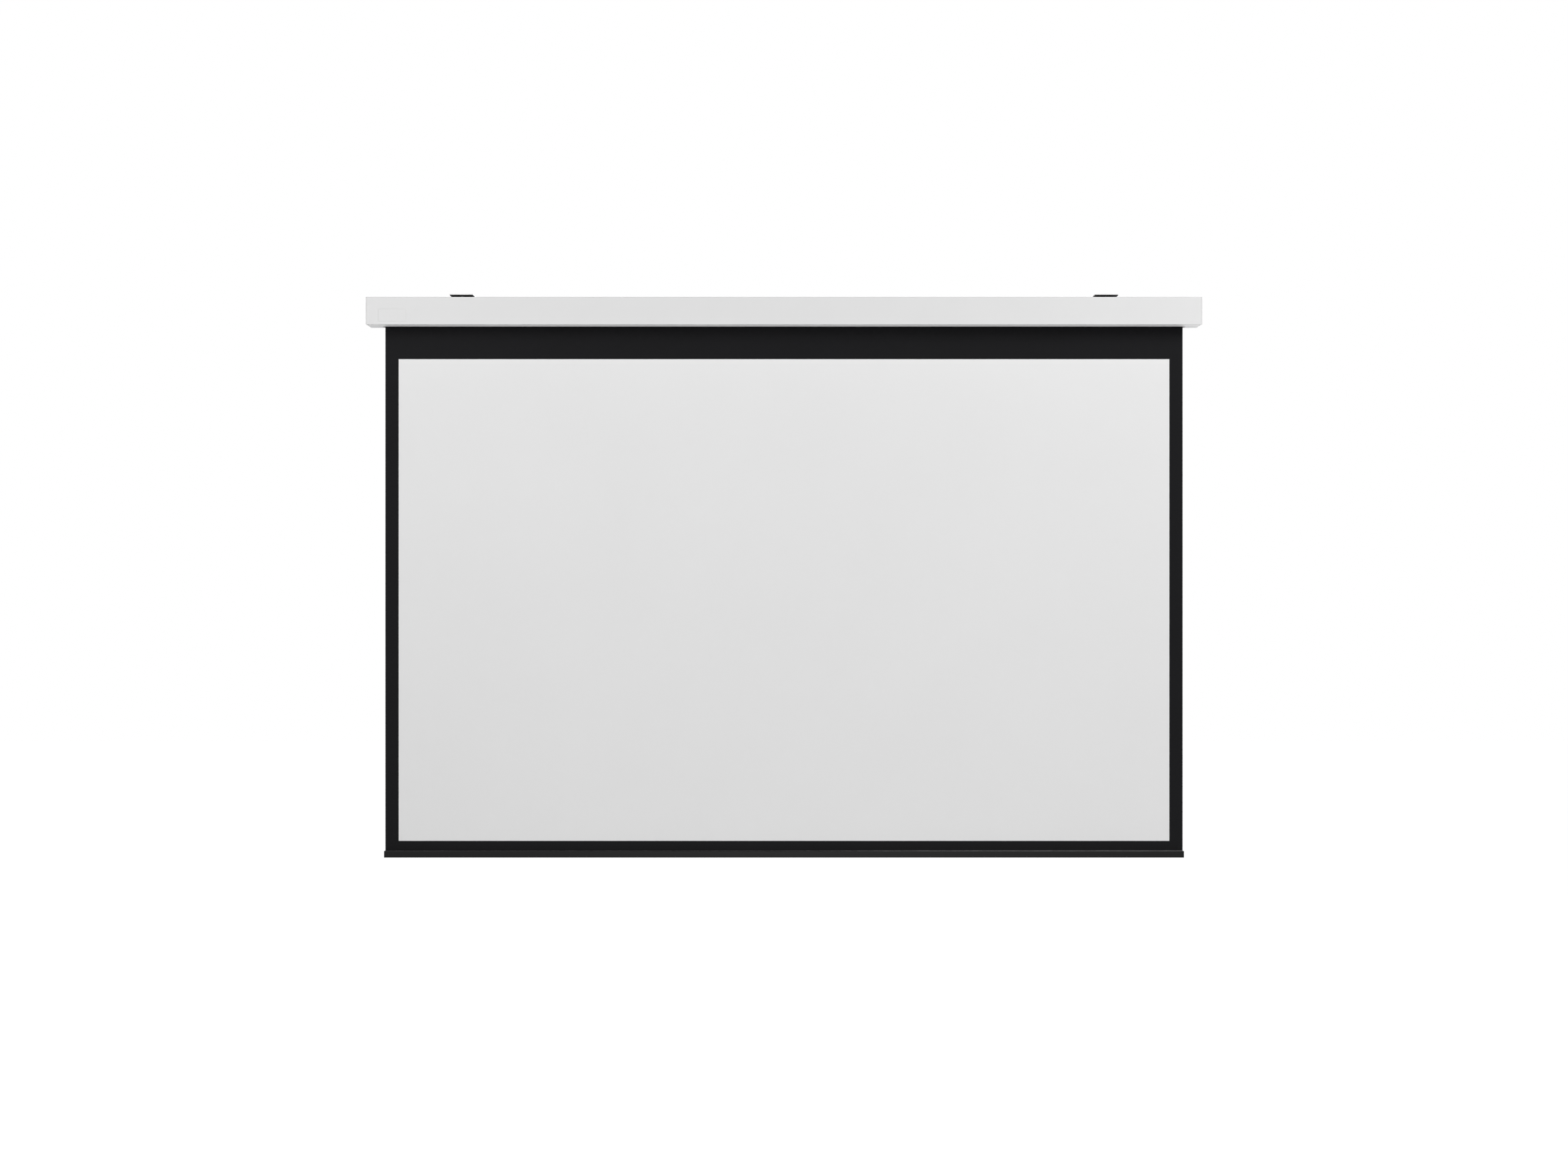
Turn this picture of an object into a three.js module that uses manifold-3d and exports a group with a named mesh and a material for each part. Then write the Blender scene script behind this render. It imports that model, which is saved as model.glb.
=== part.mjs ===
// Motorised projection screen: a case on two brackets, a bordered fabric on a motor roller, a bottom bar.
// The frame is +X to the right, +Z up, with the viewer at -Y. The origin lies midway between the
// brackets, where the wall plane (y = 0) meets the ceiling plane (z = 0). Lengths are in millimetres.

import * as THREE from 'three';
import { mergeVertices } from 'three/addons/utils/BufferGeometryUtils.js';
import Module from 'manifold-3d';

const wasm = await Module();
wasm.setup();

// Fits and counts
const fitGap = 0.3; // between a piece and the seat or bore that holds it
const runGap = 0.4; // between a turning piece and what it turns in or on
const overrun = 1; // how far a cutting shape runs past the face that it cuts
const roundSides = 24; // sides of the large round pieces, which share their corners' angles
const smallSides = 12;

// Fabric
const imageWidth = 2320;
const imageHeight = 1450;
const sideBorder = 40;
const bottomBorder = 30;
const blackDrop = 97.2; // black fabric between the case and the picture
const fabricThickness = 0.4;
const surfaceThickness = 0.2;
const surfaceGap = 0.1;

// Roller
const rollerDiameter = 50;
const rollerWall = 1.5;
const rollerOverhang = 3; // of the tube past each edge of the fabric
const safetyTurns = 1.5; // turns that stay on the tube when the fabric is lowered
const turnPitch = 0.75; // from one turn of fabric to the next
const rollGrowth = 4.25; // of the roll's radius when the fabric is raised
const keyWidth = 4; // of the strip that locks the fabric in the tube's groove
const keyDepth = 3.6;
const sleeveLength = 15; // of the crown and the plug inside the tube
const flangeThickness = 3; // of the crown and the plug outside the tube

// Motor
const motorDiameter = 35;
const motorWall = 1;
const motorLength = 480;
const headDiameter = 38;
const headFlangeDiameter = 52;
const headFlangeThickness = 3;
const headLength = 30.5; // from the bracket plate to the motor tube
const spigotLength = 12;
const shaftDiameter = 10;
const shaftSeat = 16; // of the output shaft inside the gearbox and inside the drive wheel
const wheelGap = 6; // from the gearbox to the drive wheel
const innerLengthShares = [0.17, 0.13, 0.33, 0.12, 0.25]; // of the room inside the motor tube
const innerRadiusShares = [1, 0.86, 0.97, 0.92, 1]; // of the motor tube's bore

// Limit adjusters
const adjusterDiameter = 5;
const adjusterLength = 8;
const adjusterSpacing = 14;
const adjusterFromFlange = 12.5;
const adjusterBlockWall = 3.5; // of the block round the adjusters
const adjusterBlockDrop = 2; // of the block below the head
const driverSlotWidth = 1;
const driverSlotDepth = 1.2;

// Idler
const pinDiameter = 12;
const pinInPlug = 24;
const pinInBush = 20;
const bushDiameter = 24;
const bushLength = 26;
const bushFlangeDiameter = 40;
const bushFlangeThickness = 3;

// Bottom bar
const barHeight = 20;
const barThickness = 15;
const barCornerRadius = 2;
const barCapThickness = 3;
const ballastDiameter = 8;
const ballastHeight = 5.8; // of the rod's centre above the bar's underside
const hemDiameter = 5.6;
const hemHeight = 14.4; // of the rod's centre above the bar's underside
const hemSlotWidth = 1.6;
const barCapSpigot = 12;

// Case
const caseWall = 2;
const caseCornerRadius = 1.5;
const rollBehindFront = 6.625; // from the front wall to the full roll
const rollAboveFloor = 11.75;
const rollBelowChannel = 1.75;
const slotBeforeBar = 1;
const slotBehindBar = 5;
const rearFlange = 11; // of the case's underside behind the slot
const slotLip = 6; // turned up along the front edge of the slot
const slotPastBar = 4; // at each end of the bar
const endRoom = 35; // from the end of the slot to the bracket plate
const seamSetback = 12; // of the seam in the case top behind the front
const tongueReach = 5;
const tongueThickness = 1.5;

// T channel in the case top
const channelDepth = 8;
const channelFloor = 1.5;
const channelWidth = 15;
const channelNeck = 8.5;
const channelBehindRoller = 5.125;

// Bracket plates on the case's ends, the end caps over them and their screws
const capThickness = 3;
const bracketPlateThickness = 2;
const portInset = 6; // of the screw ports from the outside of the case
const portDiameter = 9;
const screwDiameter = 4;
const screwHeadDiameter = 7.6;
const screwHeadHeight = 1.8;
const screwLength = 16;

// Small flange screws
const flangeScrewDiameter = 3;
const flangeScrewHeadDiameter = 5;
const flangeScrewHeadHeight = 1.8;
const flangeScrewInset = 3.3; // of their centres from the flange's edge

// Power inlet and lead
const inletWidth = 18;
const inletHeight = 30;
const inletDepth = 22;
const inletWall = 1.5;
const inletSocketDepth = 14;
const inletFlangeOverlap = 1.5;
const inletFlangeThickness = 2;
const inletFromBack = 13; // from its centre to the back of the case
const inletPinDiameter = 2.5;
const inletPinLength = 9;
const inletPinSpacingY = 7;
const inletPinSpacingZ = 14;
const leadDiameter = 5;
const leadBend = 7;

// Blank plate on the front
const plateWidth = 82.5;
const plateHeight = 37;
const plateThickness = 1;
const plateFromEnd = 38; // from the end of the case
const plateAboveBottom = 8.6;
const plateCornerRadius = 1;
const pegDiameter = 4;
const pegInset = 12;

// Hanging brackets
const bracketFromEnd = 282; // from the end of the case to the middle of the bracket
const bracketWidth = 70;
const bracketSteel = 2.5;
const bracketDrop = 60;
const bracketBend = 3;
const bracketNose = 23; // in front of the T stud
const padThickness = 1.5;
const padInset = 0.5;
const padClearBack = 4;
const caseBelowPad = 7;
const caseClearWall = 4.5; // from the back of the case to the bracket
const wallScrewHole = 7;
const wallScrewHeadHole = 11;
const wallScrewSpacing = 44;
const wallScrewDrop = 35;
const ceilingScrewSetback = 26;
const studDiameter = 6;
const studHeadSize = 13.5;
const studHeadHeight = 3;
const nutAcrossCorners = 11.5;
const nutHeight = 5;
const nutFlangeDiameter = 16;
const nutFlangeThickness = 1.5;

// Radii and widths that follow
const rollerRadius = rollerDiameter / 2;
const boreRadius = rollerRadius - rollerWall;
const leaveRadius = rollerRadius + fitGap + fabricThickness / 2 + safetyTurns * turnPitch;
const rollRadius = rollerRadius + rollGrowth;
const motorRadius = motorDiameter / 2;
const fabricWidth = imageWidth + 2 * sideBorder;
const fabricEdge = fabricWidth / 2;
const rollerEnd = fabricEdge + rollerOverhang;
const barEnd = fabricEdge + barCapThickness;
const slotEnd = barEnd + slotPastBar;
const caseEnd = slotEnd + endRoom; // of the extrusions, where the bracket plates begin
const plateEnd = caseEnd + bracketPlateThickness;
const capEnd = plateEnd + capThickness;

// Places that follow, from the wall and the ceiling
const caseBack = -(bracketSteel + caseClearWall);
const caseTop = -(bracketSteel + padThickness + caseBelowPad);
const fabricSetback = caseWall + rollBehindFront + rollRadius + leaveRadius;
const caseDepth = fabricSetback + barThickness / 2 + slotBehindBar + rearFlange;
const caseHeight = caseWall + rollAboveFloor + 2 * rollRadius + rollBelowChannel + channelDepth;
const caseFront = caseBack - caseDepth;
const caseBottom = caseTop - caseHeight;
const fabricY = caseFront + fabricSetback;
const rollerY = fabricY - leaveRadius;
const rollerZ = caseBottom + caseWall + rollAboveFloor + rollRadius;
const slotFront = fabricY - barThickness / 2 - slotBeforeBar;
const slotRear = caseBack - rearFlange;
const seamY = caseFront + seamSetback;
const channelY = rollerY + channelBehindRoller;
const imageTop = caseBottom - blackDrop;
const imageBottom = imageTop - imageHeight;
const barTop = imageBottom - bottomBorder;
const barBottom = barTop - barHeight;
const ports = [
  [caseFront + portInset, caseTop - portInset],
  [caseFront + portInset, caseBottom + portInset],
  [caseBack - portInset, caseTop - portInset],
  [caseBack - portInset, caseBottom + portInset],
];
const inletY = caseBack - inletFromBack;
const inletZ = rollerZ;
const motorStart = -caseEnd + headLength;
const motorEnd = motorStart + motorLength;

// Solids from three.js geometry
function solidFrom(geometry) {
  geometry.deleteAttribute('normal');
  geometry.deleteAttribute('uv');
  const merged = mergeVertices(geometry);
  const corners = merged.index.array;
  const whole = [];
  for (let i = 0; i < corners.length; i += 3) {
    const [a, b, c] = corners.slice(i, i + 3);
    if (a !== b && b !== c && c !== a) whole.push(a, b, c);
  }
  return new wasm.Manifold(new wasm.Mesh({
    numProp: 3,
    vertProperties: new Float32Array(merged.attributes.position.array),
    triVerts: new Uint32Array(whole),
  }));
}

// The row axes, and for each the two that an outline across it is drawn on
const unit = {
  x: new THREE.Vector3(1, 0, 0),
  y: new THREE.Vector3(0, 1, 0),
  z: new THREE.Vector3(0, 0, 1),
};
const across = { x: ['y', 'z'], y: ['z', 'x'], z: ['x', 'y'] };

// An outline drawn across an axis, run along it between two places in either order
function extrude(outline, ends, axis = 'x') {
  const [from, to] = [Math.min(...ends), Math.max(...ends)];
  const shape = new THREE.Shape(outline.map(([u, v]) => new THREE.Vector2(u, v)));
  const geometry = new THREE.ExtrudeGeometry(shape, { depth: 1, bevelEnabled: false });
  const [u, v] = across[axis];
  const run = unit[axis].clone().multiplyScalar(to - from);
  const place = new THREE.Matrix4().makeBasis(unit[u], unit[v], run);
  place.setPosition(unit[axis].clone().multiplyScalar(from));
  geometry.applyMatrix4(place);
  return solidFrom(geometry);
}

// An outline of [radius, place along the axis] turned about an axis through a centre across it
function turn(outline, axis = 'x', [u, v] = [0, 0], sides = smallSides) {
  const points = outline.map(([radius, along]) => new THREE.Vector2(radius, along));
  if (THREE.ShapeUtils.area(points) < 0) points.reverse();
  const geometry = new THREE.LatheGeometry([...points, points[0]], sides);
  const [uAxis, vAxis] = across[axis];
  const place = new THREE.Matrix4().makeBasis(unit[vAxis], unit[axis], unit[uAxis]);
  place.setPosition(unit[uAxis].clone().multiplyScalar(u).addScaledVector(unit[vAxis], v));
  geometry.applyMatrix4(place);
  return solidFrom(geometry);
}

function circle(radius, sides = roundSides, [u, v] = [0, 0]) {
  return Array.from({ length: sides }, (_, k) => {
    const angle = (2 * Math.PI * k) / sides;
    return [u + radius * Math.cos(angle), v + radius * Math.sin(angle)];
  });
}

function rectangle([u0, u1], [v0, v1]) {
  return [[u0, v0], [u1, v0], [u1, v1], [u0, v1]];
}

// An outline with square corners, each point [u, v] or [u, v, radius] where it is rounded
function rounded(outline, steps = 3) {
  return outline.flatMap(([u, v, radius], k) => {
    if (!radius) return [[u, v]];
    const corner = new THREE.Vector2(u, v);
    const [back, on] = [k - 1, k + 1].map((n) => {
      const [pu, pv] = outline[(n + outline.length) % outline.length];
      return new THREE.Vector2(pu, pv).sub(corner).setLength(radius);
    });
    return Array.from({ length: steps + 1 }, (_, step) => {
      const angle = (Math.PI / 2) * (step / steps);
      const point = corner.clone().add(back).add(on);
      point.addScaledVector(on, -Math.cos(angle)).addScaledVector(back, -Math.sin(angle));
      return [point.x, point.y];
    });
  });
}

const roundRectangle = (uEnds, vEnds, radius) =>
  rounded(rectangle(uEnds, vEnds).map(([u, v]) => [u, v, radius]));
const about = (centre, size) => [centre - size / 2, centre + size / 2];
const block = (xEnds, yEnds, zEnds) => extrude(rectangle(yEnds, zEnds), xEnds);
const rod = (radius, ends, centre, sides) => extrude(circle(radius, sides, centre), ends);
const joined = (solids) => solids.reduce((whole, solid) => whole.add(solid));
const less = (solid, tools) => tools.reduce((left, tool) => left.subtract(tool), solid);

// Finishes
const finishes = {
  whitePowderCoat: { color: 0xe2e2e0, roughness: 0.45, metalness: 0.1 },
  whiteAbs: { color: 0xdadad8, roughness: 0.5, metalness: 0 },
  blackFabric: { color: 0x1b1b1c, roughness: 0.85, metalness: 0 },
  whiteSurface: { color: 0xe6e6e4, roughness: 0.95, metalness: 0 },
  blackPowderCoat: { color: 0x202124, roughness: 0.4, metalness: 0.2 },
  blackNylon: { color: 0x17181a, roughness: 0.55, metalness: 0 },
  blackRubber: { color: 0x121212, roughness: 0.9, metalness: 0 },
  bareAluminium: { color: 0xb9bbbd, roughness: 0.35, metalness: 1 },
  zincSteel: { color: 0xc3c6c8, roughness: 0.3, metalness: 1 },
  greySteel: { color: 0x8a8d90, roughness: 0.5, metalness: 0.6 },
  paleNylon: { color: 0xd6d2c4, roughness: 0.6, metalness: 0 },
  copperWinding: { color: 0xa5633c, roughness: 0.45, metalness: 0.8 },
};

const screen = new THREE.Group();

function place(group, name, finish, solid) {
  const { vertProperties, triVerts } = solid.getMesh();
  const geometry = new THREE.BufferGeometry();
  geometry.setAttribute('position', new THREE.BufferAttribute(vertProperties, 3));
  geometry.setIndex(new THREE.BufferAttribute(triVerts, 1));
  geometry.computeVertexNormals();
  const mesh = new THREE.Mesh(geometry, new THREE.MeshStandardMaterial(finishes[finish]));
  mesh.name = name;
  group.add(mesh);
}

function groupAt(x, y, z) {
  const group = new THREE.Group();
  group.position.set(x, y, z);
  screen.add(group);
  return group;
}

// Screw ports and screws
const portHole = screwDiameter / 2 + fitGap;
const caseRun = [-caseEnd, caseEnd];
const cutRun = [-caseEnd - overrun, caseEnd + overrun];

function withPorts(profile, centres) {
  const walls = centres.map((centre) => rod(portDiameter / 2, caseRun, centre, smallSides));
  const holes = centres.map((centre) => rod(portHole, cutRun, centre, smallSides));
  return less(joined([profile, ...walls]), holes);
}

// A screw whose head's outer face lies at one place on the X axis, pointing towards the middle
function countersunkScrew(headX, inward, [y, z]) {
  const radius = screwDiameter / 2;
  const neckX = headX + inward * screwHeadHeight;
  const tipX = headX + inward * screwLength;
  return turn([[0, headX], [screwHeadDiameter / 2, headX], [radius, neckX], [radius, tipX], [0, tipX]],
    'x', [y, z]);
}

function flangeScrew(faceX, inward, depth, [y, z]) {
  const radius = flangeScrewDiameter / 2;
  const headRadius = flangeScrewHeadDiameter / 2;
  const headX = faceX + inward * flangeScrewHeadHeight;
  const tipX = faceX - inward * depth;
  return turn([[0, headX], [headRadius, headX], [headRadius, faceX], [radius, faceX], [radius, tipX],
    [0, tipX]], 'x', [y, z]);
}

// Case body: top with its T channel, back, and the flange behind the slot
const innerTop = caseTop - caseWall;
const channelSide = channelWidth / 2;
const neckSide = channelNeck / 2;
const channelBase = caseTop - channelDepth;
const bodyOutline = rounded([
  [seamY + fitGap, caseTop],
  [channelY - neckSide, caseTop],
  [channelY - neckSide, innerTop],
  [channelY - channelSide, innerTop],
  [channelY - channelSide, channelBase + channelFloor],
  [channelY + channelSide, channelBase + channelFloor],
  [channelY + channelSide, innerTop],
  [channelY + neckSide, innerTop],
  [channelY + neckSide, caseTop],
  [caseBack, caseTop, caseCornerRadius],
  [caseBack, caseBottom, caseCornerRadius],
  [slotRear, caseBottom],
  [slotRear, caseBottom + caseWall],
  [caseBack - caseWall, caseBottom + caseWall],
  [caseBack - caseWall, innerTop],
  [channelY + channelSide + caseWall, innerTop],
  [channelY + channelSide + caseWall, channelBase],
  [channelY - channelSide - caseWall, channelBase],
  [channelY - channelSide - caseWall, innerTop],
  [seamY + fitGap, innerTop],
]);
place(screen, 'case_body', 'whitePowderCoat', withPorts(extrude(bodyOutline, caseRun), ports.slice(2)));

// Front cover: front, a tongue under the case top, and the flange in front of the slot
const tongueTop = innerTop - fitGap;
const coverOutline = rounded([
  [caseFront, caseTop, caseCornerRadius],
  [seamY, caseTop],
  [seamY, tongueTop],
  [seamY + tongueReach, tongueTop],
  [seamY + tongueReach, tongueTop - tongueThickness],
  [caseFront + caseWall, tongueTop - tongueThickness],
  [caseFront + caseWall, caseBottom + caseWall],
  [slotFront - caseWall, caseBottom + caseWall],
  [slotFront - caseWall, caseBottom + slotLip],
  [slotFront, caseBottom + slotLip],
  [slotFront, caseBottom],
  [caseFront, caseBottom, caseCornerRadius],
]);
const plateX = about(-capEnd + plateFromEnd + plateWidth / 2, plateWidth);
const plateZ = about(caseBottom + plateAboveBottom + plateHeight / 2, plateHeight);
const pegs = [plateX[0] + pegInset, plateX[1] - pegInset].map((x) => [(plateZ[0] + plateZ[1]) / 2, x]);
const frontCover = less(withPorts(extrude(coverOutline, caseRun), ports.slice(0, 2)),
  pegs.map((centre) => extrude(circle(pegDiameter / 2 + fitGap, smallSides, centre),
    [caseFront - overrun, caseFront + caseWall + overrun], 'y')));
place(screen, 'front_cover', 'whitePowderCoat', frontCover);

// Blank plate: a moulded cover on two pegs
const plateOutline = roundRectangle(plateZ, plateX, plateCornerRadius);
const blankPlate = joined([
  extrude(plateOutline, [caseFront - plateThickness, caseFront], 'y'),
  ...pegs.map((centre) => extrude(circle(pegDiameter / 2, smallSides, centre),
    [caseFront - plateThickness / 2, caseFront + caseWall], 'y')),
]);
place(screen, 'blank_plate', 'whiteAbs', blankPlate);

// At each end a bracket plate, a cap, the screws through both and a filler for the slot
const endOutline = roundRectangle([caseFront, caseBack], [caseBottom, caseTop], caseCornerRadius);
const inletHole = {
  y: about(inletY, inletWidth + 2 * fitGap),
  z: about(inletZ, inletHeight + 2 * fitGap),
};

function endPieces(side, sideName, plateName, flangeDiameter) {
  const [inner, seam, outer] = [side * caseEnd, side * plateEnd, side * capEnd];
  const [before, after] = [side * (caseEnd - overrun), side * (capEnd + overrun)];
  const seat = side * (capEnd - screwHeadHeight - fitGap);
  const head = screwHeadDiameter / 2 + fitGap;
  const holes = ports.map((centre) => turn([[0, before], [portHole, before], [portHole, seat],
    [head, outer - side * fitGap], [head, after], [0, after]], 'x', centre));
  if (side < 0) holes.push(block([before, after], inletHole.y, inletHole.z));
  place(screen, `${sideName}_end_cap`, 'whiteAbs', less(extrude(endOutline, [seam, outer]), holes));

  const flangeHoles = flangeScrewCentres(flangeDiameter).map(([y, z]) =>
    rod(flangeScrewDiameter / 2 + fitGap, [before, after], [rollerY + y, rollerZ + z], smallSides));
  const plate = less(extrude(endOutline, [inner, seam]), [...holes, ...flangeHoles]);
  place(screen, plateName, 'whitePowderCoat', plate);

  ports.forEach((centre, k) => place(screen, `${sideName}_end_cap_screw_${k + 1}`, 'zincSteel',
    countersunkScrew(side * (capEnd - fitGap), -side, centre)));

  place(screen, `slot_filler_${sideName}`, 'whiteAbs', block([side * slotEnd, inner],
    [slotFront + fitGap, slotRear - fitGap], [caseBottom, caseBottom + slotLip]));
}

function flangeScrewCentres(flangeDiameter) {
  const reach = flangeDiameter / 2 - flangeScrewInset;
  return [[0, reach], [0, -reach]];
}

endPieces(-1, 'left', 'motor_bracket', headFlangeDiameter);
endPieces(1, 'right', 'idler_bracket', bushFlangeDiameter);

// Power inlet: a socket with four pins, put in from inside the left end
const inletBack = -capEnd + inletDepth;
const socketFloor = -capEnd + inletSocketDepth;
const inletFlange = [
  about(inletY, inletWidth + 2 * inletFlangeOverlap),
  about(inletZ, inletHeight + 2 * inletFlangeOverlap),
];
const inletPins = about(inletY, inletPinSpacingY).flatMap((y) =>
  about(inletZ, inletPinSpacingZ).map((z) => [y, z]));
const inletShell = less(joined([
  block([-capEnd, inletBack], about(inletY, inletWidth), about(inletZ, inletHeight)),
  block([-caseEnd, -caseEnd + inletFlangeThickness], ...inletFlange),
]), [block([-capEnd - overrun, socketFloor], about(inletY, inletWidth - 2 * inletWall),
  about(inletZ, inletHeight - 2 * inletWall))]);
const inlet = joined([inletShell, ...inletPins.map((centre) =>
  rod(inletPinDiameter / 2, [socketFloor - inletPinLength, socketFloor + overrun], centre, smallSides))]);
place(screen, 'power_inlet', 'blackNylon', inlet);

// Lead from the inlet to the side of the motor head
const headRadius = headDiameter / 2;
const leadX = inletBack + fitGap + leadBend;
const leadEndY = rollerY + headRadius + fitGap;
const leadPath = new THREE.CurvePath();
const leadStart = new THREE.Vector3(inletBack + fitGap, inletY, inletZ);
const leadCorner = new THREE.Vector3(leadX, inletY, inletZ);
const leadTurned = new THREE.Vector3(leadX, inletY - leadBend, inletZ);
const leadEnd = new THREE.Vector3(leadX, leadEndY, inletZ);
leadPath.add(new THREE.QuadraticBezierCurve3(leadStart, leadCorner, leadTurned));
leadPath.add(new THREE.LineCurve3(leadTurned, leadEnd));
const leadSection = new THREE.Shape(circle(leadDiameter / 2, 8).map(([u, v]) => new THREE.Vector2(u, v)));
const leadGeometry = new THREE.ExtrudeGeometry(leadSection, { steps: 12, extrudePath: leadPath });
place(screen, 'motor_lead', 'blackRubber', solidFrom(leadGeometry));

// Motor, centred on the roller's axis
const motor = groupAt(0, rollerY, rollerZ);
const motorBore = motorRadius - motorWall;
const headFace = -caseEnd + headFlangeThickness;
const flangeScrewHole = flangeScrewDiameter / 2 + fitGap;
const blockBottom = -headRadius - adjusterBlockDrop;
const adjusterTop = blockBottom + adjusterLength + 2 * fitGap;
const blockHalf = adjusterDiameter / 2 + adjusterBlockWall;
const adjusterX = -caseEnd + adjusterFromFlange;
const adjusters = about(0, adjusterSpacing).map((y) => [adjusterX, y]);
const headShape = joined([
  rod(headFlangeDiameter / 2, [-caseEnd, headFace]),
  rod(headRadius, [-caseEnd, motorStart]),
  rod(motorBore - fitGap, [motorStart - overrun, motorStart + spigotLength]),
  block(about(adjusterX, 2 * blockHalf), about(0, adjusterSpacing + 2 * blockHalf), [blockBottom, 0]),
]);
const motorHead = less(headShape, [
  ...adjusters.map((centre) => extrude(circle(adjusterDiameter / 2 + runGap, smallSides, centre),
    [blockBottom - overrun, adjusterTop], 'z')),
  ...flangeScrewCentres(headFlangeDiameter).map((centre) =>
    rod(flangeScrewHole, [-caseEnd - overrun, headFace + overrun], centre, smallSides)),
]);
place(motor, 'motor_head', 'blackNylon', motorHead);
flangeScrewCentres(headFlangeDiameter).forEach((centre, k) => place(motor, `motor_head_screw_${k + 1}`,
  'zincSteel', flangeScrew(headFace, 1, headFlangeThickness + bracketPlateThickness - fitGap, centre)));
const motorBoreCut = rod(motorBore, [motorStart - overrun, motorEnd + overrun]);
place(motor, 'motor_tube', 'greySteel', less(rod(motorRadius, [motorStart, motorEnd]), [motorBoreCut]));

// Sealed pieces in a row inside the motor tube, from the head to the output end
const innerNames = ['limit_switch_unit', 'capacitor', 'motor_unit', 'brake_unit', 'gearbox'];
const innerFinishes = ['paleNylon', 'greySteel', 'copperWinding', 'blackNylon', 'zincSteel'];
const innerStart = motorStart + spigotLength;
const innerRoom = motorEnd - innerStart;
const gearboxRadius = shaftDiameter / 2 + runGap;
let innerX = innerStart;
innerNames.forEach((name, k) => {
  const nextX = innerX + innerRoom * innerLengthShares[k];
  const body = rod((motorBore - fitGap) * innerRadiusShares[k], [innerX + fitGap, nextX]);
  const bore = rod(gearboxRadius, [motorEnd - shaftSeat - fitGap, motorEnd + overrun], [0, 0], smallSides);
  place(motor, name, innerFinishes[k], name === 'gearbox' ? less(body, [bore]) : body);
  innerX = nextX;
});

// Limit adjusters, turned by a driver from below when the front cover is off
['up', 'down'].forEach((name, k) => {
  const [x, y] = adjusters[k];
  const foot = blockBottom + fitGap;
  const screw = extrude(circle(adjusterDiameter / 2, smallSides, [x, y]), [foot, foot + adjusterLength], 'z');
  const slot = block(about(x, driverSlotWidth), about(y, adjusterDiameter + 2 * overrun),
    [foot - overrun, foot + driverSlotDepth]);
  place(motor, `limit_screw_${name}`, 'paleNylon', less(screw, [slot]));
});

// Roller, centred on its axis
const roller = groupAt(0, rollerY, rollerZ);
const grooveWidth = keyWidth + 2 * fitGap;
const grooveFloor = rollerRadius - keyDepth - 2 * fitGap;
const grooveY = [-rollerRadius - overrun, -grooveFloor];
const tubeRun = [-rollerEnd, rollerEnd];
const tubeCut = [-rollerEnd - overrun, rollerEnd + overrun];
const grooveWalls = block(tubeRun, [-rollerRadius + rollerWall / 2, -grooveFloor + rollerWall],
  about(0, grooveWidth + 2 * rollerWall));
const rollerTube = less(joined([
  less(rod(rollerRadius, tubeRun), [rod(boreRadius, tubeCut)]),
  grooveWalls,
]), [block(tubeCut, grooveY, about(0, grooveWidth))]);
place(roller, 'roller_tube', 'bareAluminium', rollerTube);

const keyY = [-rollerRadius + fitGap, -rollerRadius + fitGap + keyDepth];
place(roller, 'fabric_key_strip', 'paleNylon', block([-fabricEdge, fabricEdge], keyY, about(0, keyWidth)));

// Safety turns of fabric, wound inwards from the place where the fabric leaves the roll
const turnSteps = Math.round(safetyTurns * roundSides);
const spiral = (offset) => Array.from({ length: turnSteps + 1 }, (_, k) => {
  const angle = (2 * Math.PI * k) / roundSides;
  const radius = leaveRadius + offset - (turnPitch * k) / roundSides;
  return [radius * Math.cos(angle), radius * Math.sin(angle)];
});
const turnsOutline = [...spiral(fabricThickness / 2), ...spiral(-fabricThickness / 2).reverse()];
place(roller, 'fabric_turns', 'blackFabric', extrude(turnsOutline, [-fabricEdge, fabricEdge]));

// Pieces that fill the tube's bore, with a notch that the groove drives
const notch = (ends) => block(ends, [-rollerRadius, -grooveFloor + rollerWall + fitGap],
  about(0, grooveWidth + 2 * rollerWall + 2 * fitGap));
const boreFill = ([from, to]) =>
  less(rod(boreRadius - fitGap, [from, to]), [notch([from - overrun, to + overrun])]);
const endPlug = (side) => joined([
  rod(rollerRadius, [side * rollerEnd, side * (rollerEnd + flangeThickness)]),
  less(rod(boreRadius - fitGap, [side * (rollerEnd - sleeveLength), side * (rollerEnd + overrun)]), [
    notch([side * (rollerEnd - sleeveLength - overrun), side * rollerEnd]),
  ]),
]);
const crownHole = rod(motorRadius + runGap,
  [-rollerEnd - flangeThickness - overrun, -rollerEnd + sleeveLength + overrun]);
place(roller, 'limit_crown', 'blackNylon', less(endPlug(-1), [crownHole]));

const wheelStart = motorEnd + wheelGap;
const wheelEnd = wheelStart + shaftSeat;
const wheelRun = [Math.min(wheelStart, wheelEnd), Math.max(wheelStart, wheelEnd)];
const wheelHole = rod(shaftDiameter / 2 + fitGap, [wheelRun[0] - overrun, wheelRun[1] + overrun], [0, 0], 6);
place(roller, 'drive_wheel', 'blackNylon', less(boreFill(wheelRun), [wheelHole]));
const outputShaft = rod(shaftDiameter / 2, [motorEnd - shaftSeat, wheelEnd], [0, 0], 6);
place(roller, 'output_shaft', 'zincSteel', outputShaft);

const pinStart = rollerEnd + flangeThickness - pinInPlug;
const bushFace = caseEnd - bushLength;
const pinEnd = bushFace + pinInBush;
const plugHole = rod(pinDiameter / 2 + fitGap,
  [pinStart - overrun, rollerEnd + flangeThickness + overrun], [0, 0], smallSides);
place(roller, 'idler_plug', 'blackNylon', less(endPlug(1), [plugHole]));
place(roller, 'idler_pin', 'zincSteel', rod(pinDiameter / 2, [pinStart, pinEnd], [0, 0], smallSides));

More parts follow.
